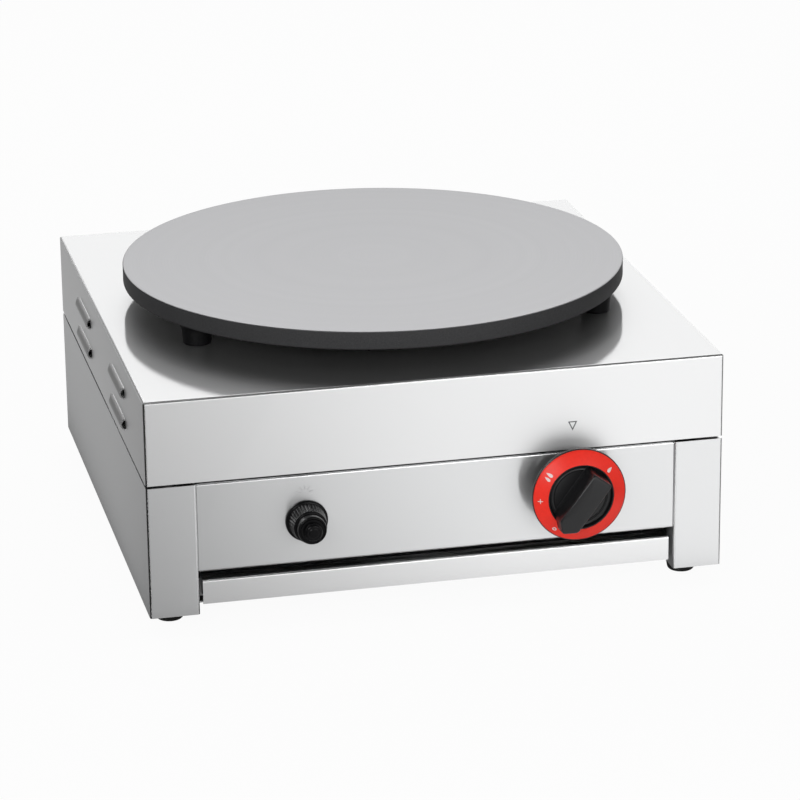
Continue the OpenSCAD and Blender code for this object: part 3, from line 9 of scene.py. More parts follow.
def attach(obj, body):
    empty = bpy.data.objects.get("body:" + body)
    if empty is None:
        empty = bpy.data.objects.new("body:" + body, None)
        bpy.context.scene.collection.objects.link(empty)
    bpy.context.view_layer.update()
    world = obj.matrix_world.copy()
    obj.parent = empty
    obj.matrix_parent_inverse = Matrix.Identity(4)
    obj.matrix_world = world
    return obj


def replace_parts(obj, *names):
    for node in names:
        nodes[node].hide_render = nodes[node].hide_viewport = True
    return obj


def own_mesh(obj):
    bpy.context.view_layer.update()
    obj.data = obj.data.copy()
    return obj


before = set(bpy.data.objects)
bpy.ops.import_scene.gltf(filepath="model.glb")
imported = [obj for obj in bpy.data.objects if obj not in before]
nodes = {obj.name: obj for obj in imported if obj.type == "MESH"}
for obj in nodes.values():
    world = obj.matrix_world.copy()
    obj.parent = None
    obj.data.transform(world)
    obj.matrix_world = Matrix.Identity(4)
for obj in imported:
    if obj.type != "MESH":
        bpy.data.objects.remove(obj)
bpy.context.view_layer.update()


# ---- camera
# A long lens, a little left of the front and looking down on the griddle.
# Its place is in metres and its turn in radians, in the frame of the housing.
eye = np.array([-0.582121, -2.671509, 1.038227])
yaw, pitch, roll = 0.222040723, 0.33256159, -0.0116081477
focal_px, picture_px, sensor_mm = 3561.113, 800, 36.0

ahead = np.array([math.sin(yaw) * math.cos(pitch), math.cos(yaw) * math.cos(pitch), -math.sin(pitch)])
level = np.array([math.cos(yaw), -math.sin(yaw), 0.0])
upward = np.cross(level, ahead)
right = math.cos(roll) * level + math.sin(roll) * upward
up = math.cos(roll) * upward - math.sin(roll) * level

lens = bpy.data.cameras.new("camera")
lens.sensor_width = sensor_mm
lens.lens = focal_px * sensor_mm / picture_px
lens.clip_end = 50.0
camera = bpy.data.objects.new("camera", lens)
camera.matrix_world = Matrix([[*row, place] for row, place in zip(np.stack([right, up, -ahead], 1), eye)]
                             + [[0, 0, 0, 1]])
bpy.context.scene.collection.objects.link(camera)
bpy.context.scene.camera = camera


# ---- floor, world and lamps
# A white sweep that keeps a soft shadow, a white room whose ceiling, left side and front show
# dark in gloss, and softboxes behind, in front at the right and in front at the left.
class Signal:
    """A shader socket. Sums, products and powers of signals and numbers become Math nodes."""

    def __init__(self, tree, socket):
        self.tree, self.socket = tree, socket

    def combine(self, operation, *terms, clamp=False):
        """A Math node that works on these terms."""
        node = self.tree.nodes.new("ShaderNodeMath")
        node.operation, node.use_clamp = operation, clamp
        for slot, term in zip(node.inputs, terms):
            if isinstance(term, Signal):
                self.tree.links.new(term.socket, slot)
            else:
                slot.default_value = term
        return Signal(self.tree, node.outputs[0])

    def __add__(self, other):
        return self.combine("ADD", self, other)

    def __sub__(self, other):
        return self.combine("SUBTRACT", self, other)

    def __rsub__(self, other):
        return self.combine("SUBTRACT", other, self)

    def __mul__(self, other):
        return self.combine("MULTIPLY", self, other)

    def __truediv__(self, other):
        return self.combine("DIVIDE", self, other)

    def __pow__(self, other):
        return self.combine("POWER", self, other)

    def __gt__(self, other):
        return self.combine("GREATER_THAN", self, other)

    __radd__, __rmul__ = __add__, __mul__

    def limited(self):
        """Kept between 0 and 1."""
        return self.combine("ADD", self, 0.0, clamp=True)

    def rising(self, low, high):
        """0 below low, 1 above high and straight between."""
        return ((self - low) / (high - low)).limited()

    def sibling(self, out):
        """Another output of the same node."""
        return Signal(self.tree, self.socket.node.outputs[out])


class Finish:
    """A node tree that grows by one call per node: its type, its settings, then its sockets by name,
    or by number as i0, i1 and so on."""

    def __init__(self, name, owner=None):
        self.owner = owner or bpy.data.materials.new(name)
        self.owner.use_nodes = True
        self.tree = self.owner.node_tree
        self.tree.nodes.clear()

    def node(self, kind, settings=None, out=0, **sockets):
        node = self.tree.nodes.new("ShaderNode" + kind)
        for key, value in (settings or {}).items():
            setattr(node, key, value)
        for key, value in sockets.items():
            key = int(key[1:]) if key[0] == "i" and key[1:].isdigit() else key.replace("_", " ")
            if isinstance(value, Signal):
                self.tree.links.new(value.socket, node.inputs[key])
            else:
                node.inputs[key].default_value = value
        return Signal(self.tree, node.outputs[out]) if node.outputs else None


room_diffuse, ceiling_dim, left_dim, front_dim = 0.35, 0.9, 0.75, 0.3
ceiling_band, left_band, front_band = (0.37, 0.6), (-0.25, 0.05), (0.1, 0.5)
world = bpy.data.worlds.new("room")
bpy.context.scene.world = world
room = Finish("room", world)
ray = room.node("LightPath", out="Is Camera Ray")
glossy = ray.sibling("Is Glossy Ray")
high = room.node("SeparateXYZ", Vector=room.node("TexCoord", out="Generated"), out="Z")
shown = ray + ray.sibling("Is Transmission Ray") + glossy
ceiling = 1.0 - high.rising(*ceiling_band) * ceiling_dim
left_side = 1.0 - (1.0 - high.sibling("X").rising(*left_band)) * left_dim
front_side = 1.0 - (0.0 - high.sibling("Y")).rising(*front_band) * front_dim
glow = room.node("Background", Color=(1.0, 1.0, 1.0, 1.0),
                 Strength=room_diffuse + shown.limited() * (1.0 - room_diffuse)
                 - glossy * (1.0 - ceiling * left_side * front_side))
room.node("OutputWorld", Surface=glow)

floor_half, floor_drop, floor_white, floor_glow = 6.0, 0.0002, 0.86, 0.95
square = ((-1, -1), (1, -1), (1, 1), (-1, 1))
floor_mesh = bpy.data.meshes.new("floor")
floor_mesh.from_pydata([(x * floor_half, y * floor_half, -floor_drop) for x, y in square], [],
                       [(0, 1, 2, 3)])
floor = bpy.data.objects.new("floor", floor_mesh)
bpy.context.scene.collection.objects.link(floor)
paper = Finish("floor_paper")
ray = paper.node("LightPath", out="Is Camera Ray")
glossy = ray.sibling("Is Glossy Ray")
across = paper.node("SeparateXYZ", Vector=paper.node("TexCoord", out="Object"), out="X")
along = across.sibling("Y")
# Gloss shows the sheet growing lighter from left to right, between two dark wedges that
# fan out from the housing's front corners, and dark under the housing: they draw its folds.
corner_x, corner_y = 0.225, -0.224
back_slope, left_front_slope, right_front_slope, wedge_edge = 1.6, 3.2, 0.8, 0.03
under_front, under_edge = 0.03, 0.02
sheen_left, sheen_gain, sheen_right_gain, sheen_beside = 0.3, 0.63, 0.12, 0.2
right_wedge_dim, under_dim = 0.85, 0.9
left_of, right_of, ahead_of = -corner_x - across, across - corner_x, along - corner_y


def wedge(beyond, front_slope):
    """1 between two lines that leave a corner, one sloping back and one forward, with soft edges."""
    return ((beyond * back_slope - ahead_of).rising(0.0, wedge_edge)
            * (beyond * front_slope + ahead_of).rising(0.0, wedge_edge))


left_wedge, right_wedge = wedge(left_of, left_front_slope), wedge(right_of, right_front_slope)
slope = (sheen_left + sheen_gain * across.rising(-0.2, 0.08)
         + sheen_right_gain * across.rising(0.08, 0.35))
beside = left_of.rising(0.0, 0.07) * ahead_of.rising(-0.05, 0.05)
under = ((ahead_of + under_front).rising(0.0, under_edge) * (under_edge - left_of).rising(0.0, under_edge)
         * (under_edge - right_of).rising(0.0, under_edge))
sheen = ((slope + beside * sheen_beside) * (1.0 - left_wedge) * (1.0 - right_wedge * right_wedge_dim)
         * (1.0 - under * under_dim))
matte = paper.node("BsdfDiffuse", Color=(floor_white, floor_white, floor_white, 1.0))
bright = paper.node("Emission", Color=(1.0, 1.0, 1.0, 1.0), Strength=1.0 - glossy * (1.0 - sheen))
lit = (ray + ray.sibling("Is Transmission Ray")) * floor_glow + glossy
paper.node("OutputMaterial", Surface=paper.node("MixShader", i0=lit, i1=matte, i2=bright))
floor_mesh.materials.append(paper.owner)

# Each softbox's place, the point it faces, its width and height, and its watts.
softboxes = {
    "softbox_behind": ((0.1, 1.8, 1.5), (0.0, 0.0, 0.2), (2.6, 1.0), 12.0),
    "softbox_right": ((1.1, -2.6, 0.95), (0.0, 0.0, 0.1), (1.6, 1.0), 14.0),
    "softbox_left": ((-1.4, -2.4, 1.3), (0.0, 0.0, 0.1), (1.2, 1.0), 31.0),
}
for name, (place, target, (wide, high), watts) in softboxes.items():
    lamp = bpy.data.lights.new(name, "AREA")
    lamp.shape, lamp.size, lamp.size_y, lamp.energy = "RECTANGLE", wide, high, watts
    box = bpy.data.objects.new(name, lamp)
    box.location = place
    box.rotation_euler = (Vector(target) - Vector(place)).to_track_quat("-Z", "Y").to_euler()
    bpy.context.scene.collection.objects.link(box)
bpy.context.scene.view_settings.view_transform = "Standard"


# ---- sheet steel of the housing
# Stainless sheet with a fine brushed grain, folded into the side panels with their posts,
# the rear panel, the control panel, the tray's front and the cover.
def dress(material, *names):
    """Gives CAD nodes a material in every slot."""
    for name in names:
        mesh = nodes[name].data
        if not mesh.materials:
            mesh.materials.append(material)
        for index in range(len(mesh.materials)):
            mesh.materials[index] = material


# The darker grey given to what is pressed out of the sides is painted shade: it stands in for the dark the
# louvres' curves reflect.
pressed_x, pressed_painted_shade, satin_rough = 0.2235, 0.53, 0.52


def brushed(name, tint, rough, streak, satin_flat, satin_level, mirror, lines=1.0):
    """Brushed sheet: lines that run level along each face, from noise squeezed across them. The gloss
    is drawn out across the lines where lines is 1, and has the roughness mirror on level faces and
    rough elsewhere. Upright faces mix it with a wide satin sheen by satin_flat, level faces by
    satin_level, folds are gloss alone, and what is pressed out of the sides past pressed_x is satin
    alone, in a darker grey that is painted shade for the dark its curves reflect."""
    steel = Finish(name)
    place = steel.node("TexCoord", out="Object")
    facing = steel.node("SeparateXYZ", Vector=steel.node("NewGeometry", out="Normal"), out=0)
    side = facing.combine("ABSOLUTE", facing)
    front = facing.combine("ABSOLUTE", facing.sibling("Y"))
    level_face = facing.combine("ABSOLUTE", facing.sibling("Z")).rising(0.9, 0.98)
    flat = side.rising(0.9, 0.98) + front.rising(0.9, 0.98)
    along_x = steel.node("Mapping", Vector=place, Scale=(6.0, 900.0, 900.0))
    along_y = steel.node("Mapping", Vector=place, Scale=(900.0, 6.0, 900.0))
    run = steel.node("Mix", {"data_type": "VECTOR"}, out=1, i0=side > 0.7, i4=along_x, i5=along_y)
    fine = steel.node("TexNoise", Vector=run, Scale=4.0, Detail=2.0, Roughness=0.6)
    broad = steel.node("TexNoise", Vector=run, Scale=0.35, Detail=2.0, Roughness=0.5)
    cloud = steel.node("TexNoise", Vector=place, Scale=5.0, Detail=2.0)
    shift = (fine - 0.5) * (0.5 * streak) + (broad - 0.5) * streak + (cloud - 0.5) * (0.35 * streak)
    low = tuple(c * (1.0 - 0.5 * streak) for c in tint) + (1.0,)
    high = tuple(min(c * (1.0 + 0.5 * streak), 1.0) for c in tint) + (1.0,)
    sheet = steel.node("Mix", {"data_type": "RGBA"}, out=2, i0=(shift + 0.5).limited(), i6=low, i7=high)
    x = steel.node("SeparateXYZ", Vector=place, out="X")
    pressed = x.combine("ABSOLUTE", x) > pressed_x
    # Painted shade: what is pressed out of the sides takes a darker grey in place of the sheet's colour.
    colour = steel.node("Mix", {"data_type": "RGBA"}, out=2, i0=pressed, i6=sheet,
                        i7=(pressed_painted_shade, pressed_painted_shade, pressed_painted_shade, 1.0))
    normal = steel.node("Bump", Height=fine + broad * 0.5, Strength=0.35, Distance=0.00002)
    uneven = rough + level_face * (mirror - rough) + shift * 0.25 * (1.0 - level_face)
    gloss = steel.node("BsdfPrincipled", Base_Color=colour, Metallic=1.0, Normal=normal,
                       Anisotropic=lines, Anisotropic_Rotation=0.25, Roughness=uneven.limited())
    satin = steel.node("BsdfPrincipled", Base_Color=colour, Metallic=1.0, Normal=normal,
                       Roughness=(satin_rough + shift * 0.5).limited())
    share = flat.combine("MAXIMUM", flat * satin_flat + level_face * satin_level, pressed)
    steel.node("OutputMaterial", Surface=steel.node("MixShader", i0=share, i1=gloss, i2=satin))
    return steel.owner


sheet_tint, bright_tint = (0.8, 0.805, 0.81), (0.88, 0.883, 0.886)
housing_steel = brushed("housing_steel", sheet_tint, 0.24, 0.08, 0.65, 0.0, 0.2)
tray_steel = brushed("tray_steel", bright_tint, 0.24, 0.08, 0.65, 0.0, 0.2)
panel_steel = brushed("panel_steel", sheet_tint, 0.16, 0.06, 0.5, 0.0, 0.2)
dress(housing_steel, "side_panel_left", "side_panel_right", "rear_panel")
dress(panel_steel, "control_panel")
dress(tray_steel, "tray_front")


# ---- top cover
# The same sheet, folded down on four sides with welded and polished corners,
# with the burner's opening and the pressed louvres. Its front has the printed index
# that the knob's marks are turned to.
cover_steel = brushed("cover_steel", bright_tint, 0.24, 0.06, 0.82, 0.3, 0.04)
dress(cover_steel, "top_cover")

cover_front, print_t, index_line = -224.0, 0.04, 0.85
index_corners = [(100.4, 142.9), (104.0, 135.4), (107.6, 142.9)]
seam_gap = 0.000002


def made(name, grids, finish, body, sharp=35.0):
    """One mesh from grids of points in millimetres: each cell of a grid is a face, points that
    coincide at seams and poles are merged, and the faces are turned outwards."""
    points, faces, start = [], [], 0
    for grid in grids:
        rows, columns = grid.shape[:2]
        index = start + np.arange(rows * columns).reshape(rows, columns)
        cells = np.stack([index[:-1, :-1], index[1:, :-1], index[1:, 1:], index[:-1, 1:]], -1)
        faces.append(cells.reshape(-1, 4))
        points.append(grid.reshape(-1, 3) * 0.001)
        start += rows * columns
    mesh = bpy.data.meshes.new(name)
    mesh.from_pydata(np.concatenate(points).tolist(), [], np.concatenate(faces).tolist())
    shell = bmesh.new()
    shell.from_mesh(mesh)
    bmesh.ops.remove_doubles(shell, verts=shell.verts, dist=seam_gap)
    bmesh.ops.recalc_face_normals(shell, faces=shell.faces)
    shell.to_mesh(mesh)
    shell.free()
    mesh.shade_smooth()
    mesh.set_sharp_from_angle(angle=math.radians(sharp))
    mesh.materials.append(finish)
    part = bpy.data.objects.new(name, mesh)
    bpy.context.scene.collection.objects.link(part)
    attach(part, body)
    return part


def inset(corners, depth):
    """A convex outline moved inwards: a corner C goes to C + depth * (u + v) / (1 + u.v), where
    u and v are the inward unit normals of its two sides. Corners run anticlockwise."""
    corners = np.asarray(corners, float)
    side = np.roll(corners, -1, 0) - corners
    u = np.stack([-side[:, 1], side[:, 0]], 1) / np.linalg.norm(side, axis=1, keepdims=True)
    v = np.roll(u, 1, 0)
    return corners + depth * (u + v) / (1.0 + (u * v).sum(1, keepdims=True))


def closed(outline):
    """An outline that ends on its first point."""
    return np.concatenate([outline, outline[:1]])


def upright(outline, y):
    """An outline of (x, z) points, stood up at the depth y."""
    return np.stack([outline[:, 0], np.broadcast_to(y, len(outline)), outline[:, 1]], 1)


def print_ink(name, tint):
    """Printing ink: an even colour that thins out here and there."""
    ink = Finish(name)
    cloud = ink.node("TexNoise", Vector=ink.node("TexCoord", out="Object"), Scale=900.0, Detail=2.0)
    thin = tuple(0.85 * c for c in tint) + (1.0,)
    colour = ink.node("Mix", {"data_type": "RGBA"}, out=2, i0=cloud, i6=thin, i7=tint + (1.0,))
    skin = ink.node("BsdfPrincipled", Base_Color=colour, Roughness=0.45 + cloud * 0.1)
    ink.node("OutputMaterial", Surface=skin)
    return ink.owner


grey_ink = print_ink("grey_ink", (0.11, 0.11, 0.115))
edge, hole = closed(inset(index_corners, 0.0)), closed(inset(index_corners, index_line))
made("index_mark", [np.stack([upright(edge, cover_front), upright(edge, cover_front - print_t),
                              upright(hole, cover_front - print_t), upright(hole, cover_front)])],
     grey_ink, "housing")


# ---- inner sheet work
# Plain steel in its mill finish: the tray's pan and its runners, the burner's rail, the probes'
# bracket, the spacers, the mixing tube with its shutter, and the tap's bonnet and spindle.
inner_steel = brushed("inner_steel", (0.5, 0.505, 0.51), 0.36, 0.2, 0.2, 0.2, 0.36, lines=0.0)
dress(inner_steel, "tray_pan", "tray_runner_left", "tray_runner_right", "burner_rail", "probe_bracket",
      "cover_spacers", "mixing_tube", "injector_holder", "air_shutter", "tap_bonnet", "tap_spindle",
      "safety_magnet")


# ---- fasteners
# Zinc-plated screws, nuts and rivets that hold the sheets together. The rear panel's screws show
# their pan heads with a pressed cross.
def plain_metal(name, tint, rough, mottle, scale):
    """Turned or plated metal: even colour with a slow mottle that also varies its gloss."""
    metal = Finish(name)
    place = metal.node("TexCoord", out="Object")
    cloud = metal.node("TexNoise", Vector=place, Scale=scale, Detail=4.0)
    low = tuple(c * (1.0 - mottle) for c in tint) + (1.0,)
    colour = metal.node("Mix", {"data_type": "RGBA"}, out=2, i0=cloud, i6=low, i7=tint + (1.0,))
    normal = metal.node("Bump", Height=cloud, Strength=0.3, Distance=0.0001)
    skin = metal.node("BsdfPrincipled", Base_Color=colour, Metallic=1.0, Roughness=rough + cloud * 0.12,
                      Normal=normal)
    metal.node("OutputMaterial", Surface=skin)
    return metal.owner


zinc = plain_metal("zinc_plate", (0.62, 0.63, 0.65), 0.28, 0.25, 300.0)
dress(zinc, "cover_screws", "cover_nuts", "panel_screws", "panel_nuts", "rear_nuts", "runner_rivets",
      "foot_screws", "foot_nuts", "rail_screws", "burner_screws", "burner_nuts", "tap_screws")

head_r, head_h, shank_r, shank_l, point_l = 3.9, 2.4, 2.0, 6.6, 0.6
cross_reach, cross_half_w, cross_depth = 2.2, 0.55, 1.3
rear_y, rear_screw_x, rear_screw_zs = 224.0, 208.0, (33.0, 66.75, 100.5)


def turned(profile, foot, axis, columns=64):
    """A profile of (radius, height) turned about an axis square to X:
    foot + height * axis + radius * (cos a * u + sin a * v), where u is X."""
    profile, axis = np.asarray(profile, float), np.asarray(axis, float)
    u = np.array([1.0, 0.0, 0.0])
    v = np.cross(axis, u)
    angle = np.linspace(0.0, 2.0 * math.pi, columns + 1)
    spoke = np.cos(angle)[:, None] * u + np.sin(angle)[:, None] * v
    return np.asarray(foot, float) + profile[:, None, 1:] * axis + profile[:, None, :1] * spoke


def screw_head(foot, rings=22, columns=64):
    """A pan head's top, facing the rear: height H * (1 - 0.5 * (r/R)^3.5), less a cross whose depth
    falls to 0 at its tips and its sides."""
    r, angle = np.meshgrid(np.linspace(0.0, 1.0, rings) ** 0.8 * head_r,
                           np.linspace(0.0, 2.0 * math.pi, columns + 1), indexing="ij")
    x, z = r * np.cos(angle), r * np.sin(angle)
    far, near = np.maximum(abs(x), abs(z)), np.minimum(abs(x), abs(z))
    cross = (cross_depth * np.clip((cross_reach - far) / 0.8, 0.0, 1.0)
             * np.clip((cross_half_w - near) / 0.15, 0.0, 1.0))
    rise = head_h * (1.0 - 0.5 * (r / head_r) ** 3.5) - cross
    return np.stack([foot[0] + x, foot[1] + rise, foot[2] + z], -1)


to_rear, to_top = (0.0, 1.0, 0.0), (0.0, 0.0, 1.0)
shank = [(head_r, 0.5 * head_h), (head_r, 0.0), (shank_r, 0.0), (shank_r, -shank_l + point_l),
         (shank_r - point_l, -shank_l), (0.0, -shank_l)]
heads = []
for x in (-rear_screw_x, rear_screw_x):
    for z in rear_screw_zs:
        heads += [screw_head((x, rear_y, z)), turned(shank, (x, rear_y, z), to_rear)]
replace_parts(made("rear_screw_set", heads, zinc, "housing"), "rear_screws")


# ---- gas line and tap
# Turned and hot-pressed brass for the fittings, drawn copper for the pipes. The inlet
# has a half-inch pipe thread behind its hexagon.
brass = plain_metal("turned_brass", (0.72, 0.53, 0.25), 0.3, 0.25, 120.0)
copper = plain_metal("drawn_copper", (0.78, 0.42, 0.28), 0.3, 0.35, 60.0)
dress(brass, "injector", "union_nuts", "inlet_locknut", "tap_body", "tap_plug")
dress(copper, "feed_pipe", "supply_pipe")

inlet_x, tap_z = 150.0, 90.7
hex_flats, hex_y0, hex_y1, hex_chamfer = 27.0, 222.8, 234.8, 1.4
thread_r, thread_pitch, thread_depth, thread_fade = 10.46, 1.814, 0.95, 1.2
thread_y0, thread_y1, neck_step = 246.0, 267.0, 0.4
inlet_shank_r, inlet_shank_y0, bore_r, bore_edge, pipe_r, pipe_seat_y = 11.0, 208.8, 6.5, 0.7, 5.0, 255.0


def around_inlet(r, angle, y):
    """Points at a radius and an angle round the inlet's axis, which runs along Y."""
    return np.stack([inlet_x + r * np.cos(angle), np.broadcast_to(y, r.shape),
                     tap_z + r * np.sin(angle)], -1)


def hexagon(columns=96):
    """A hexagonal prism along Y: r = flats/2 / cos(a mod 60 - 30), kept below a cone at both ends."""
    angle = np.linspace(0.0, 2.0 * math.pi, columns + 1)
    flat_r = 0.5 * hex_flats
    corner_r = flat_r / math.cos(math.pi / 6.0)
    side_r = flat_r / np.cos((angle % (math.pi / 3.0)) - math.pi / 6.0)
    y = np.array([hex_y0, hex_y0 + hex_chamfer, hex_y1 - hex_chamfer, hex_y1])
    limit = np.array([flat_r, corner_r, corner_r, flat_r])
    r = np.minimum(side_r[None, :], limit[:, None])
    r = np.concatenate([np.zeros((1, columns + 1)), r, np.zeros((1, columns + 1))])
    return around_inlet(r, angle, np.concatenate([y[:1], y, y[-1:]])[:, None])


def thread(columns=48, rows_per_turn=10):
    """An external thread along Y: r = R - depth * |saw((y - y0)/pitch - a/2pi)|, faded out at both
    ends."""
    rows = int((thread_y1 - thread_y0) / thread_pitch * rows_per_turn) + 1
    y, angle = np.meshgrid(np.linspace(thread_y0, thread_y1, rows),
                           np.linspace(0.0, 2.0 * math.pi, columns + 1), indexing="ij")
    turn = (y - thread_y0) / thread_pitch - angle / (2.0 * math.pi)
    groove = np.abs(2.0 * (turn - np.floor(turn)) - 1.0)
    lead = np.clip(np.minimum(y - thread_y0, thread_y1 - y) / thread_fade, 0.0, 1.0)
    return around_inlet(thread_r - thread_depth * (1.0 - lead * (1.0 - groove)), angle, y)


root_r, inlet_foot = thread_r - thread_depth, (inlet_x, 0.0, tap_z)
neck = [(root_r - neck_step, hex_y1 - 2.0), (root_r - neck_step, thread_y0), (root_r, thread_y0)]
bore = [(root_r, thread_y1), (bore_r + bore_edge, thread_y1), (bore_r, thread_y1 - bore_edge),
        (bore_r, pipe_seat_y), (pipe_r, pipe_seat_y), (pipe_r, inlet_shank_y0),
        (inlet_shank_r, inlet_shank_y0), (inlet_shank_r, hex_y0 + 1.0)]
inlet = [hexagon(), thread(), turned(neck, inlet_foot, to_rear), turned(bore, inlet_foot, to_rear)]
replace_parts(made("gas_inlet_connector", inlet, brass, "housing", sharp=25.0), "inlet_connector")


# ---- burner
# A cast-iron star burner: a hub on a base bar, with eight arms and their flame ports. The bar is
# screwed to the rail, and a cap closes the hub, held by the step that fits inside it.
def cast(name, tint, metallic, rough, lump):
    """Cast iron: a lumpy sand-cast skin under a dark coat."""
    iron = Finish(name)
    place = iron.node("TexCoord", out="Object")
    lumps = iron.node("TexNoise", Vector=place, Scale=700.0, Detail=4.0, Roughness=0.6)
    cloud = iron.node("TexNoise", Vector=place, Scale=25.0, Detail=3.0)
    low = tuple(c * 0.7 for c in tint) + (1.0,)
    colour = iron.node("Mix", {"data_type": "RGBA"}, out=2, i0=cloud * 0.5 + lumps * 0.5, i6=low,
                       i7=tint + (1.0,))
    normal = iron.node("Bump", Height=lumps, Strength=0.4, Distance=lump)
    skin = iron.node("BsdfPrincipled", Base_Color=colour, Metallic=metallic,
                     Roughness=rough + cloud * 0.1, Normal=normal)
    iron.node("OutputMaterial", Surface=skin)
    return iron.owner


burner_cast = cast("burner_cast", (0.16, 0.16, 0.165), 0.7, 0.5, 0.0004)
dress(burner_cast, "burner_body", "burner_cap")


# ---- ignition and flame guard
# A ceramic spark electrode with its silicone lead, and a copper thermocouple whose
# capillary runs in soft bends to the tap's safety magnet.
def moulded(name, tint, rough, texture, scale, gloss=0.5):
    """A moulding: an even colour, with a fine skin texture in its height and gloss."""
    plastic = Finish(name)
    place = plastic.node("TexCoord", out="Object")
    grain = plastic.node("TexNoise", Vector=place, Scale=scale, Detail=3.0)
    low = tuple(c * 0.85 for c in tint) + (1.0,)
    colour = plastic.node("Mix", {"data_type": "RGBA"}, out=2, i0=grain, i6=low, i7=tint + (1.0,))
    normal = plastic.node("Bump", Height=grain, Strength=0.3, Distance=texture)
    skin = plastic.node("BsdfPrincipled", Base_Color=colour, Roughness=rough + grain * 0.1, Normal=normal,
                        Specular_IOR_Level=gloss)
    plastic.node("OutputMaterial", Surface=skin)
    return plastic.owner


ceramic = moulded("probe_ceramic", (0.82, 0.8, 0.75), 0.25, 0.00003, 400.0)
silicone = moulded("lead_silicone", (0.35, 0.06, 0.04), 0.5, 0.00005, 500.0)
dress(ceramic, "spark_electrode")

lead_d, capillary_d = 3.0, 2.4
probe_x, probe_y, probe_r, probe_z0, probe_z1 = -70.0, 13.0, 3.0, 133.3, 171.3
probe_collar_r, probe_collar_z0, probe_collar_z1 = 4.0, 149.3, 151.8
tap_x, igniter_x, igniter_z = 104.0, -102.0, 82.0
lead_route = [(probe_x, -probe_y, 133.4), (probe_x, -probe_y, 127.3), (probe_x, -50.0, 127.3),
              (probe_x, -55.5, 97.8), (igniter_x, -131.8, igniter_z), (igniter_x, -157.8, igniter_z)]
capillary_route = [(probe_x, probe_y, 133.4), (probe_x, probe_y, 128.3), (probe_x, 42.0, 128.3),
                   (-64.0, 47.5, 91.8), (tap_x, -113.8, tap_z), (tap_x, -142.8, tap_z)]


def bent(corners, cuts, steps=8):
    """Rounds a route's corners: at a corner C the line follows (1-t)^2 A + 2t(1-t) C + t^2 B,
    where A and B lie on the two neighbouring sides, the cut away from C."""
    corners = np.asarray(corners, float)
    cuts = np.broadcast_to(np.asarray(cuts, float), len(corners))[:, None]
    before = np.concatenate([corners[:1], corners[:-1]])
    after = np.concatenate([corners[1:], corners[-1:]])
    a, b = (corners + cuts * (gap / np.maximum(np.linalg.norm(gap, axis=1, keepdims=True), 1e-9))
            for gap in (before - corners, after - corners))
    t = np.linspace(0.0, 1.0, steps + 1)[None, :, None]
    curve = (1 - t) ** 2 * a[:, None] + 2 * t * (1 - t) * corners[:, None] + t ** 2 * b[:, None]
    return curve.reshape(-1, corners.shape[1])


def tube(route, radius, columns=16, lean=(1.0, 0.1, 0.4)):
    """A round line along a route: P + radius * (cos a * side + sin a * up), where side is square to the
    route and to a fixed direction. Its ends are closed."""
    route = route[np.concatenate([[True], np.linalg.norm(np.diff(route, axis=0), axis=1) > 0.05])]
    ahead = np.gradient(route, axis=0)
    ahead /= np.linalg.norm(ahead, axis=1, keepdims=True)
    side = np.cross(ahead, np.asarray(lean))
    side /= np.linalg.norm(side, axis=1, keepdims=True)
    up = np.cross(side, ahead)
    angle = np.linspace(0.0, 2.0 * math.pi, columns + 1)[None, :, None]
    ring = route[:, None] + radius * (np.cos(angle) * side[:, None] + np.sin(angle) * up[:, None])
    ends = np.broadcast_to(route[[0, -1], None], (2, columns + 1, 3))
    return np.concatenate([ends[:1], ring, ends[1:]])


lead = tube(bent(lead_route, [0, 5, 10, 12, 12, 0]), lead_d / 2)
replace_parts(made("igniter_lead_line", [lead], silicone, "housing"), "ignition_lead")

probe_outline = bent([(0.0, probe_z0), (probe_r, probe_z0), (probe_r, probe_collar_z0),
                      (probe_collar_r, probe_collar_z0), (probe_collar_r, probe_collar_z1),
                      (probe_r, probe_collar_z1), (probe_r, probe_z1), (0.0, probe_z1)],
                     [0, 0.4, 0, 0.3, 0.3, 0, 2.6, 0])
probe = turned(probe_outline, (probe_x, probe_y, 0.0), to_top, 40)
capillary = tube(bent(capillary_route, [0, 4, 10, 12, 12, 0]), capillary_d / 2)
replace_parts(made("thermocouple_line", [probe, capillary], copper, "housing"), "thermocouple")


# ---- springs
# Two compression springs of plated wire, wound with closed ends: one in the tap's plug under the
# # spindle's shoulder, one in the igniter's body behind the push button.
spring_steps = 28


def coiled(x, z, front, back, across, wire, turns):
    """A spring's wire: a circle round the axis that rises by one wire in its first and last turn and
    evenly in the turns between."""
    t = np.linspace(0.0, turns, spring_steps * turns + 1)
    room = back - front - wire
    rise = np.interp(t, [0.0, 1.0, turns - 1.0, turns], [0.0, wire, room - wire, room])
    r = (across - wire) / 2.0
    route = np.stack([x + r * np.cos(2.0 * math.pi * t), front + wire / 2.0 + rise,
                      z + r * np.sin(2.0 * math.pi * t)], 1)
    return tube(route, wire * 0.49, 10, to_rear)


# Each spring's name, node, body, joint and travel, then its axis, its two ends and its winding.
springs = [
    ("spindle_coil", "spindle_spring", "plug", "knob_push", 3.5,
     (tap_x, tap_z), (-216.0, -208.5), (8.7, 0.9, 4)),
    ("button_coil", "igniter_spring", "housing", "igniter_push", 4.5,
     (igniter_x, igniter_z), (-234.0, -217.0), (11.6, 1.0, 7)),
]
for name, node, body, joint, travel, (x, z), (front, back), winding in springs:
    coil = made(name, [coiled(x, z, front, back, *winding)], zinc, body)
    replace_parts(coil, node)
    back * 0.001
    1.0 - travel / (back - front)
    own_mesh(coil)


# ---- control knob
# A black thermoset moulding: a skirt that reaches back to the panel, a sunk dish with a
# raised bead, and a pointed wing to turn it by.
knob_black = moulded("knob_black", (0.009, 0.009, 0.01), 0.27, 0.00003, 900.0, gloss=0.4)

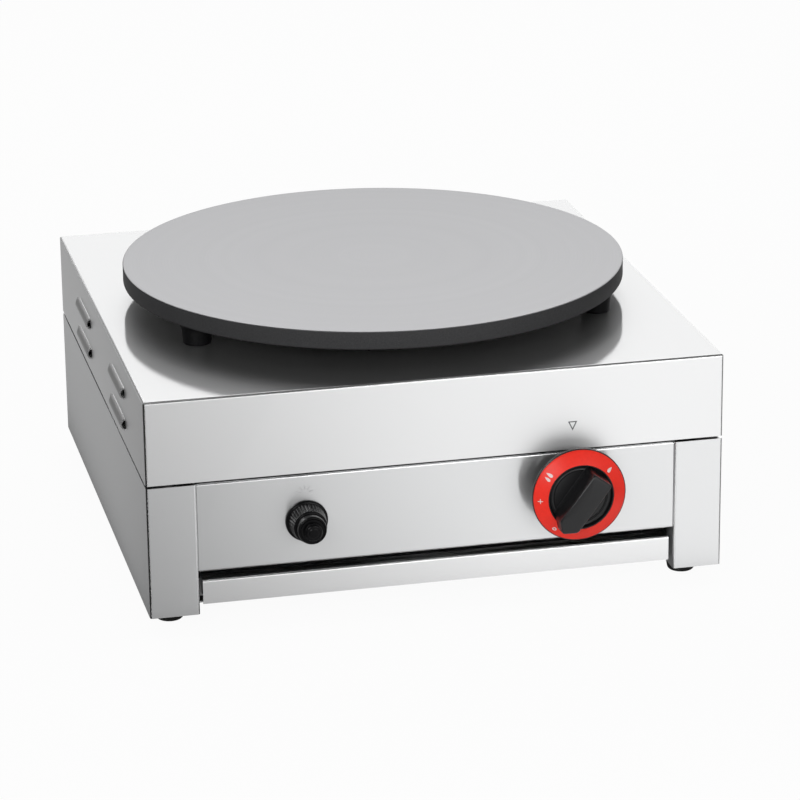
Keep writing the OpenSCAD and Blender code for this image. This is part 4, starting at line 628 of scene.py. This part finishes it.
knob_turn = math.radians(143.0)
dish_y, crest_y, skirt_y, web_y, seat_y = -246.0, -250.0, -227.8, -242.0, -241.96
dish_r, hole_r, collar_r, rim_r, skirt_r = 24.86, 25.66, 35.95, 36.55, 30.5
skirt_t, boss_r, stem_r, stem_end = 2.5, 9.0, 4.1, 1.7
wing_half_w, wing_half_l, wing_point, wing_y, wing_crown = 9.1, 22.4, 30.0, -267.0, 4.6
wing_rounding = np.array([2.0, 2.0, 2.2, 1.6, 2.2])[:, None]

dish = bent([(0.0, dish_y), (20.2, dish_y), (20.9, dish_y - 0.6), (21.8, dish_y - 0.1),
             (24.0, dish_y - 0.5), (dish_r, crest_y + 0.4), (hole_r, crest_y + 0.4),
             (hole_r, crest_y + 2.04)], [0, 0.3, 0.4, 0.4, 0.8, 0.25, 0.2, 0], 4)
shell = bent([(hole_r, crest_y + 2.04), (collar_r, seat_y), (collar_r, -243.7), (rim_r, -243.4),
              (rim_r, seat_y + 1.5), (skirt_r, seat_y + 3.5), (skirt_r, skirt_y),
              (skirt_r - skirt_t, skirt_y), (skirt_r - skirt_t, web_y), (boss_r, web_y),
              (boss_r, skirt_y - stem_end), (stem_r, skirt_y - stem_end), (stem_r, dish_y + stem_end),
              (0.0, dish_y + stem_end)],
             [0, 0, 0, 0.2, 0.4, 1.5, 0.5, 0.3, 0.8, 0.8, 0.3, 0.3, 0, 0], 3)


def wing():
    """The grip, ring by ring from its foot to its face. A ring is the five-cornered outline, moved
    inwards and rounded; below the collar it is kept inside the dish. The face is crowned along its
    length, y + crown * (l / half length)^2, and closes on its centre."""
    corners = [(-wing_half_w, -wing_half_l), (wing_half_w, -wing_half_l), (wing_half_w, wing_half_l),
               (0.0, wing_point), (-wing_half_w, wing_half_l)]
    levels = np.array([(dish_y + 0.3, -0.9, 0), (dish_y - 0.4, -0.8, 0), (dish_y - 0.9, -0.3, 0),
                       (dish_y - 1.6, 0.0, 0), (crest_y - 0.3, 0.05, 0), (crest_y - 0.35, 0.05, 1),
                       (crest_y - 8.0, 0.2, 1), (wing_y + 1.6, 0.4, 1), (wing_y + 0.8, 0.55, 1),
                       (wing_y + 0.25, 0.95, 1), (wing_y, 1.6, 1)])
    rings = []
    for y, depth, free in levels:
        outline = inset(corners, depth)
        before, after = np.roll(outline, 1, 0) - outline, np.roll(outline, -1, 0) - outline
        a = outline + wing_rounding * before / np.linalg.norm(before, axis=1, keepdims=True)
        b = outline + wing_rounding * after / np.linalg.norm(after, axis=1, keepdims=True)
        t = np.linspace(0.0, 1.0, 9)[None, :, None]
        ring = closed(((1 - t) ** 2 * a[:, None] + 2 * t * (1 - t) * outline[:, None] + t ** 2 * b[:, None])
                      .reshape(-1, 2))
        if not free:
            ring = ring * np.minimum(1.0, (dish_r - 0.1) / np.linalg.norm(ring, axis=1, keepdims=True))
        rings.append(upright(ring, y))
    face = rings[-1][None] * np.linspace(1.0, 0.0, 12)[1:, None, None] ** [1.0, 0.0, 1.0]
    grid = np.concatenate([np.stack(rings), face])
    near_face = np.clip((crest_y - grid[..., 1]) / (crest_y - wing_y), 0.0, 1.0)
    grid[..., 1] += wing_crown * (grid[..., 2] / wing_point) ** 2 * near_face
    across, high = grid[..., 0].copy(), grid[..., 2].copy()
    grid[..., 0] = tap_x + across * math.cos(knob_turn) - high * math.sin(knob_turn)
    grid[..., 2] = tap_z + across * math.sin(knob_turn) + high * math.cos(knob_turn)
    return grid


knob_axis = ((tap_x, 0.0, tap_z), to_rear)
knob_forms = [turned(dish, *knob_axis, 128), turned(shell, *knob_axis, 128), wing()]
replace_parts(made("control_knob_moulding", knob_forms, knob_black, "knob"), "control_knob")


# ---- the knob's collar
# A coloured ring clipped round the dish, with the settings printed in white: a large flame,
# a spark, off and a small flame, each turned to the index by the knob.
collar_red = moulded("collar_red", (0.98, 0.03, 0.015), 0.34, 0.00002, 500.0, gloss=0.3)
white_ink = print_ink("white_ink", (0.88, 0.72, 0.7))

ring_in, ring_out, ring_t, ring_bulge, ring_edge, cone_rise = 25.7, 35.91, 2.0, 0.25, 0.25, 6.0
ring_rise = cone_rise * (ring_out - ring_in) / (collar_r - ring_in)


def on_ring(r):
    """Depth of the ring's face at a radius: a cone with a shallow bulge, 4 b s (1 - s) across its width."""
    s = (r - ring_in) / (ring_out - ring_in)
    return crest_y + ring_rise * s - 4.0 * ring_bulge * s * (1.0 - s)


across = np.linspace(ring_in + ring_edge, ring_out - ring_edge, 14)
face = np.stack([across, on_ring(across)], 1)
back = bent([(ring_out, on_ring(ring_out) + ring_edge), (ring_out, crest_y + ring_rise + ring_t),
             (ring_in, crest_y + ring_t), (ring_in, crest_y + ring_edge), tuple(face[0])],
            [0, 0.2, 0.2, 0, 0], 3)
ring = turned(np.concatenate([face, back]), *knob_axis, 160)
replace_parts(made("setting_collar", [ring], collar_red, "knob"), "knob_collar")


mark_back, mark_top = -0.02, 0.05


def marked(angle, radius, rings):
    """Rings of (sideways, outwards, lift) points laid on the collar's face at an angle and radius."""
    side, out, lift = np.moveaxis(np.asarray(rings), -1, 0)
    r, a = radius + out, math.radians(angle) - side / radius
    return np.stack([tap_x + r * np.cos(a), on_ring(r) - lift, tap_z + r * np.sin(a)], -1)


def filled(side, out, middle=(0.0, 0.0)):
    """A closed flat shape: its outline shrinks to its middle on the back and on the front."""
    edge = np.stack([side, out], 1) - middle
    share = np.array([0.0, 1.0, 1.0, 0.66, 0.33, 0.0])[:, None, None]
    lift = np.array([mark_back, mark_back, mark_top, mark_top, mark_top, mark_top])[:, None, None]
    return np.concatenate([edge * share + middle, np.broadcast_to(lift, (6, len(edge), 1))], -1)


def drop(side, out, half_w, half_l, lean, columns=32):
    """A flame: 1.3 half_w sin t sin^1.4(t/2) wide and half_l cos t long, leaning by
    lean * (1 + cos t)^2 / 4."""
    t = np.linspace(0.0, 2.0 * math.pi, columns + 1)
    width = half_w * 1.3 * np.sin(t) * np.sin(t / 2.0) ** 1.4
    return filled(side + width + lean * (1.0 + np.cos(t)) ** 2 / 4.0, out + half_l * np.cos(t), (side, out))


t = np.linspace(0.0, 2.0 * math.pi, 49)
star = 0.5 + 1.5 * np.abs(np.cos(2.0 * t)) ** 5
off_half_w, off_half_l = 1.75, 1.3
off_ring = [np.stack([off_half_w * k * np.cos(t), off_half_l * k * np.sin(t), np.full(49, lift)], 1)
            for k, lift in ((1.0, mark_back), (1.0, mark_top), (0.5, mark_top), (0.5, mark_back))]
high_at, spark_at, off_at, low_at = (144.6, 30.8), (182.5, 31.3), (230.6, 31.8), (41.3, 29.9)
marks = [marked(*high_at, drop(-2.0, -0.2, 1.25, 2.3, 0.7)),
         marked(*high_at, drop(1.9, 0.3, 1.4, 2.6, -0.5)),
         marked(*spark_at, filled(star * np.cos(t), star * np.sin(t))),
         marked(*off_at, off_ring),
         marked(*low_at, drop(0.0, 0.0, 1.5, 2.4, 0.4))]
made("collar_marks", marks, white_ink, "knob")


# ---- igniter
# A black piezo igniter: a ring nut with a fluted cone clamps it in the panel, and a domed
# push button stands out of its neck. A spark is etched faintly above it.
igniter_black = moulded("igniter_black", (0.005, 0.005, 0.0055), 0.14, 0.00001, 500.0, gloss=0.12)
dress(igniter_black, "igniter_body", "igniter_back_nut")

panel_front, flutes, flute_depth = -222.0, 34, 0.7
nut_bore_r, flange_r, neck_r, button_r, button_back = 9.04, 16.2, 11.0, 6.98, -234.0
cone_foot, cone_top = (14.5, -225.3), (12.6, -237.6)
igniter_axis = ((igniter_x, 0.0, igniter_z), to_rear)

base = bent([(nut_bore_r, panel_front), (flange_r, panel_front), (flange_r, -224.0), (15.4, -225.0),
             cone_foot], [0, 0.1, 0.5, 0.3, 0], 4)
cone = np.linspace(cone_foot, cone_top, 12)
neck = bent([cone_top, (12.1, -238.3), (neck_r, -238.4), (neck_r, -244.6), (10.4, -246.0),
             (9.3, -245.8), (nut_bore_r, -245.0), (nut_bore_r, panel_front)],
            [0, 0.3, 0.3, 0.8, 0.5, 0.3, 0.1, 0], 4)
nut_profile = np.concatenate([base, cone, neck])
ring_nut = turned(nut_profile, *igniter_axis, flutes * 8)
spin = np.linspace(0.0, 2.0 * math.pi, flutes * 8 + 1)
rows = np.zeros(len(nut_profile))
rows[len(base):len(base) + len(cone)] = np.sin(np.linspace(0.0, math.pi, len(cone))) ** 0.4
flute = flute_depth * rows[:, None] * (0.5 - 0.5 * np.cos(flutes * spin)) ** 1.5
ring_nut[..., 0] -= flute * np.cos(spin)
ring_nut[..., 2] += flute * np.sin(spin)
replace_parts(made("igniter_fluted_nut", [ring_nut], igniter_black, "housing"),
            "igniter_ring_nut")

button = bent([(0.0, -251.3), (3.4, -251.2), (4.1, -250.7), (4.7, -250.9), (5.9, -250.6), (button_r, -249.0),
               (button_r, button_back), (0.0, button_back)], [0, 0.5, 0.3, 0.3, 0.7, 0.8, 0.2, 0], 5)
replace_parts(made("igniter_push_button", [turned(button, *igniter_axis, 72)], igniter_black, "button"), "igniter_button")

etched = print_ink("etched_grey", (0.42, 0.42, 0.425))
spark_place = np.array([igniter_x - 1.0, igniter_z + 21.5])
ray_in, ray_out, ray_half_w, ray_taper = 3.0, 7.0, 0.35, 0.4
rays = []
for turn in np.radians([18.0, 54.0, 90.0, 126.0, 162.0]):
    way = np.array([math.cos(turn), math.sin(turn)])
    wide = np.array([-math.sin(turn), math.cos(turn)]) * ray_half_w
    foot, tip = spark_place + ray_in * way, spark_place + ray_out * way
    corners = closed(np.array([foot - wide, tip - ray_taper * wide, tip + ray_taper * wide, foot + wide]))
    centre = np.broadcast_to(spark_place + 0.5 * (ray_in + ray_out) * way, corners.shape)
    rays.append(np.stack([upright(centre, panel_front), upright(corners, panel_front),
                          upright(corners, panel_front - print_t), upright(centre, panel_front - print_t)]))
made("spark_etching", rays, etched, "housing")


# ---- feet
# Four black rubber feet, each held by a screw from below whose head is sunk in a counterbore,
# with a groove in the face it stands on.
foot_rubber = moulded("foot_rubber", (0.018, 0.018, 0.018), 0.55, 0.0001, 700.0)
foot_x, foot_y, foot_h, foot_r = 202.7, 187.0, 15.0, 12.5
screw_hole_r, sunk_hole_r, sunk_hole_h = 3.2, 6.0, 7.5
foot_profile = bent([(screw_hole_r, foot_h), (foot_r, foot_h), (foot_r, 12.0), (10.5, 1.2), (9.2, 0.0),
                     (8.2, 0.0), (7.9, 0.5), (7.3, 0.5), (7.0, 0.0), (sunk_hole_r, 0.0),
                     (sunk_hole_r, sunk_hole_h), (screw_hole_r, sunk_hole_h), (screw_hole_r, foot_h)],
                    [0, 0.3, 1.0, 1.0, 0.5, 0.1, 0.1, 0.1, 0.1, 0.3, 0.2, 0.1, 0], 4)
for end, y in (("front", -foot_y), ("rear", foot_y)):
    for side, x in (("left", -foot_x), ("right", foot_x)):
        foot = turned(foot_profile, (x, y, 0.0), to_top, 56)
        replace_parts(made(f"rubber_foot_{end}_{side}", [foot], foot_rubber, "housing"),
                    f"foot_{end}_{side}")


# ---- griddle
# A cast-iron plate with a turned and ground cooking face and a rough dark rim; its underside and
# # legs are darker still, near black, as painted shade. Three legs, cast on with a wide fillet,
# # stand in holes of the cover.
plate_r, plate_z0, plate_z1, sunk_r, sunk_z, face_edge = 200.0, 202.5, 217.0, 160.0, 205.5, 0.45
leg_axis_r, leg_r, leg_seat, spigot_r, spigot_z = 184.0, 11.0, 186.3, 4.0, 183.0


def griddle_iron():
    """Iron that is turned in fine circles on its face, down to face_edge below it, and cast elsewhere;
    under the rim, on the underside and the legs, it is coloured near black as painted shade.
    """
    iron = Finish("griddle_iron")
    place = iron.node("TexCoord", out="Object")
    x = iron.node("SeparateXYZ", Vector=place, out="X")
    y, z = x.sibling("Y"), x.sibling("Z")
    face = z > (plate_z1 - face_edge) * 0.001
    radius = (x * x + y * y) ** 0.5
    circles = iron.node("TexNoise", {"noise_dimensions": "1D"}, W=radius, Scale=1400.0, Detail=2.0)
    slow = iron.node("TexNoise", {"noise_dimensions": "1D"}, W=radius, Scale=60.0, Detail=1.0)
    cloud = iron.node("TexNoise", Vector=place, Scale=9.0, Detail=3.0)
    lumps = iron.node("TexNoise", Vector=place, Scale=1100.0, Detail=3.0, Roughness=0.6)
    bright = iron.node("Mix", {"data_type": "RGBA"}, out=2, i0=circles * 0.4 + slow * 0.2 + cloud * 0.4,
                       i6=(0.34, 0.34, 0.35, 1.0), i7=(0.46, 0.46, 0.47, 1.0))
    # Painted shade: below the rim, on the underside and the legs, the iron is coloured near black.
    rim_above_painted_shade = z.rising((plate_z0 - 0.5) * 0.001, (plate_z0 + 1.5) * 0.001)
    cast_with_painted_shade = iron.node("Mix", {"data_type": "RGBA"}, out=2, i0=rim_above_painted_shade * (0.3 + lumps * 0.7),
                     i6=(0.004, 0.004, 0.0045, 1.0), i7=(0.065, 0.065, 0.067, 1.0))
    colour = iron.node("Mix", {"data_type": "RGBA"}, out=2, i0=face, i6=cast_with_painted_shade, i7=bright)
    height = lumps * (1.0 - face) + circles * face * 0.05
    skin = iron.node("BsdfPrincipled", Base_Color=colour, Metallic=face, Specular_IOR_Level=0.12,
                     Roughness=(0.5 - face * 0.12 + cloud * 0.06).limited(),
                     Normal=iron.node("Bump", Height=height, Strength=0.35, Distance=0.0002))
    iron.node("OutputMaterial", Surface=skin)
    return iron.owner


plate = bent([(0.0, plate_z1), (100.0, plate_z1), (190.0, plate_z1), (plate_r, plate_z1), (plate_r, plate_z0),
              (sunk_r, plate_z0), (sunk_r - 1.5, sunk_z), (0.0, sunk_z)], [0, 0, 0, 1.1, 1.6, 1.0, 1.5, 0], 6)
leg = bent([(0.0, spigot_z), (spigot_r, spigot_z), (spigot_r, leg_seat), (leg_r, leg_seat),
            (12.0, plate_z0 - 3.0), (15.5, plate_z0 + 0.6), (0.0, plate_z0 + 0.6)],
           [0, 0.8, 0.1, 0.8, 3.0, 0, 0], 5)
forms = [turned(plate, (0.0, 0.0, 0.0), to_top, 288)]
for turn in np.radians([-150.0, -30.0, 90.0]):
    forms.append(turned(leg, (leg_axis_r * math.cos(turn), leg_axis_r * math.sin(turn), 0.0), to_top, 40))
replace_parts(made("griddle_casting", forms, griddle_iron(), "griddle"), "griddle_plate")
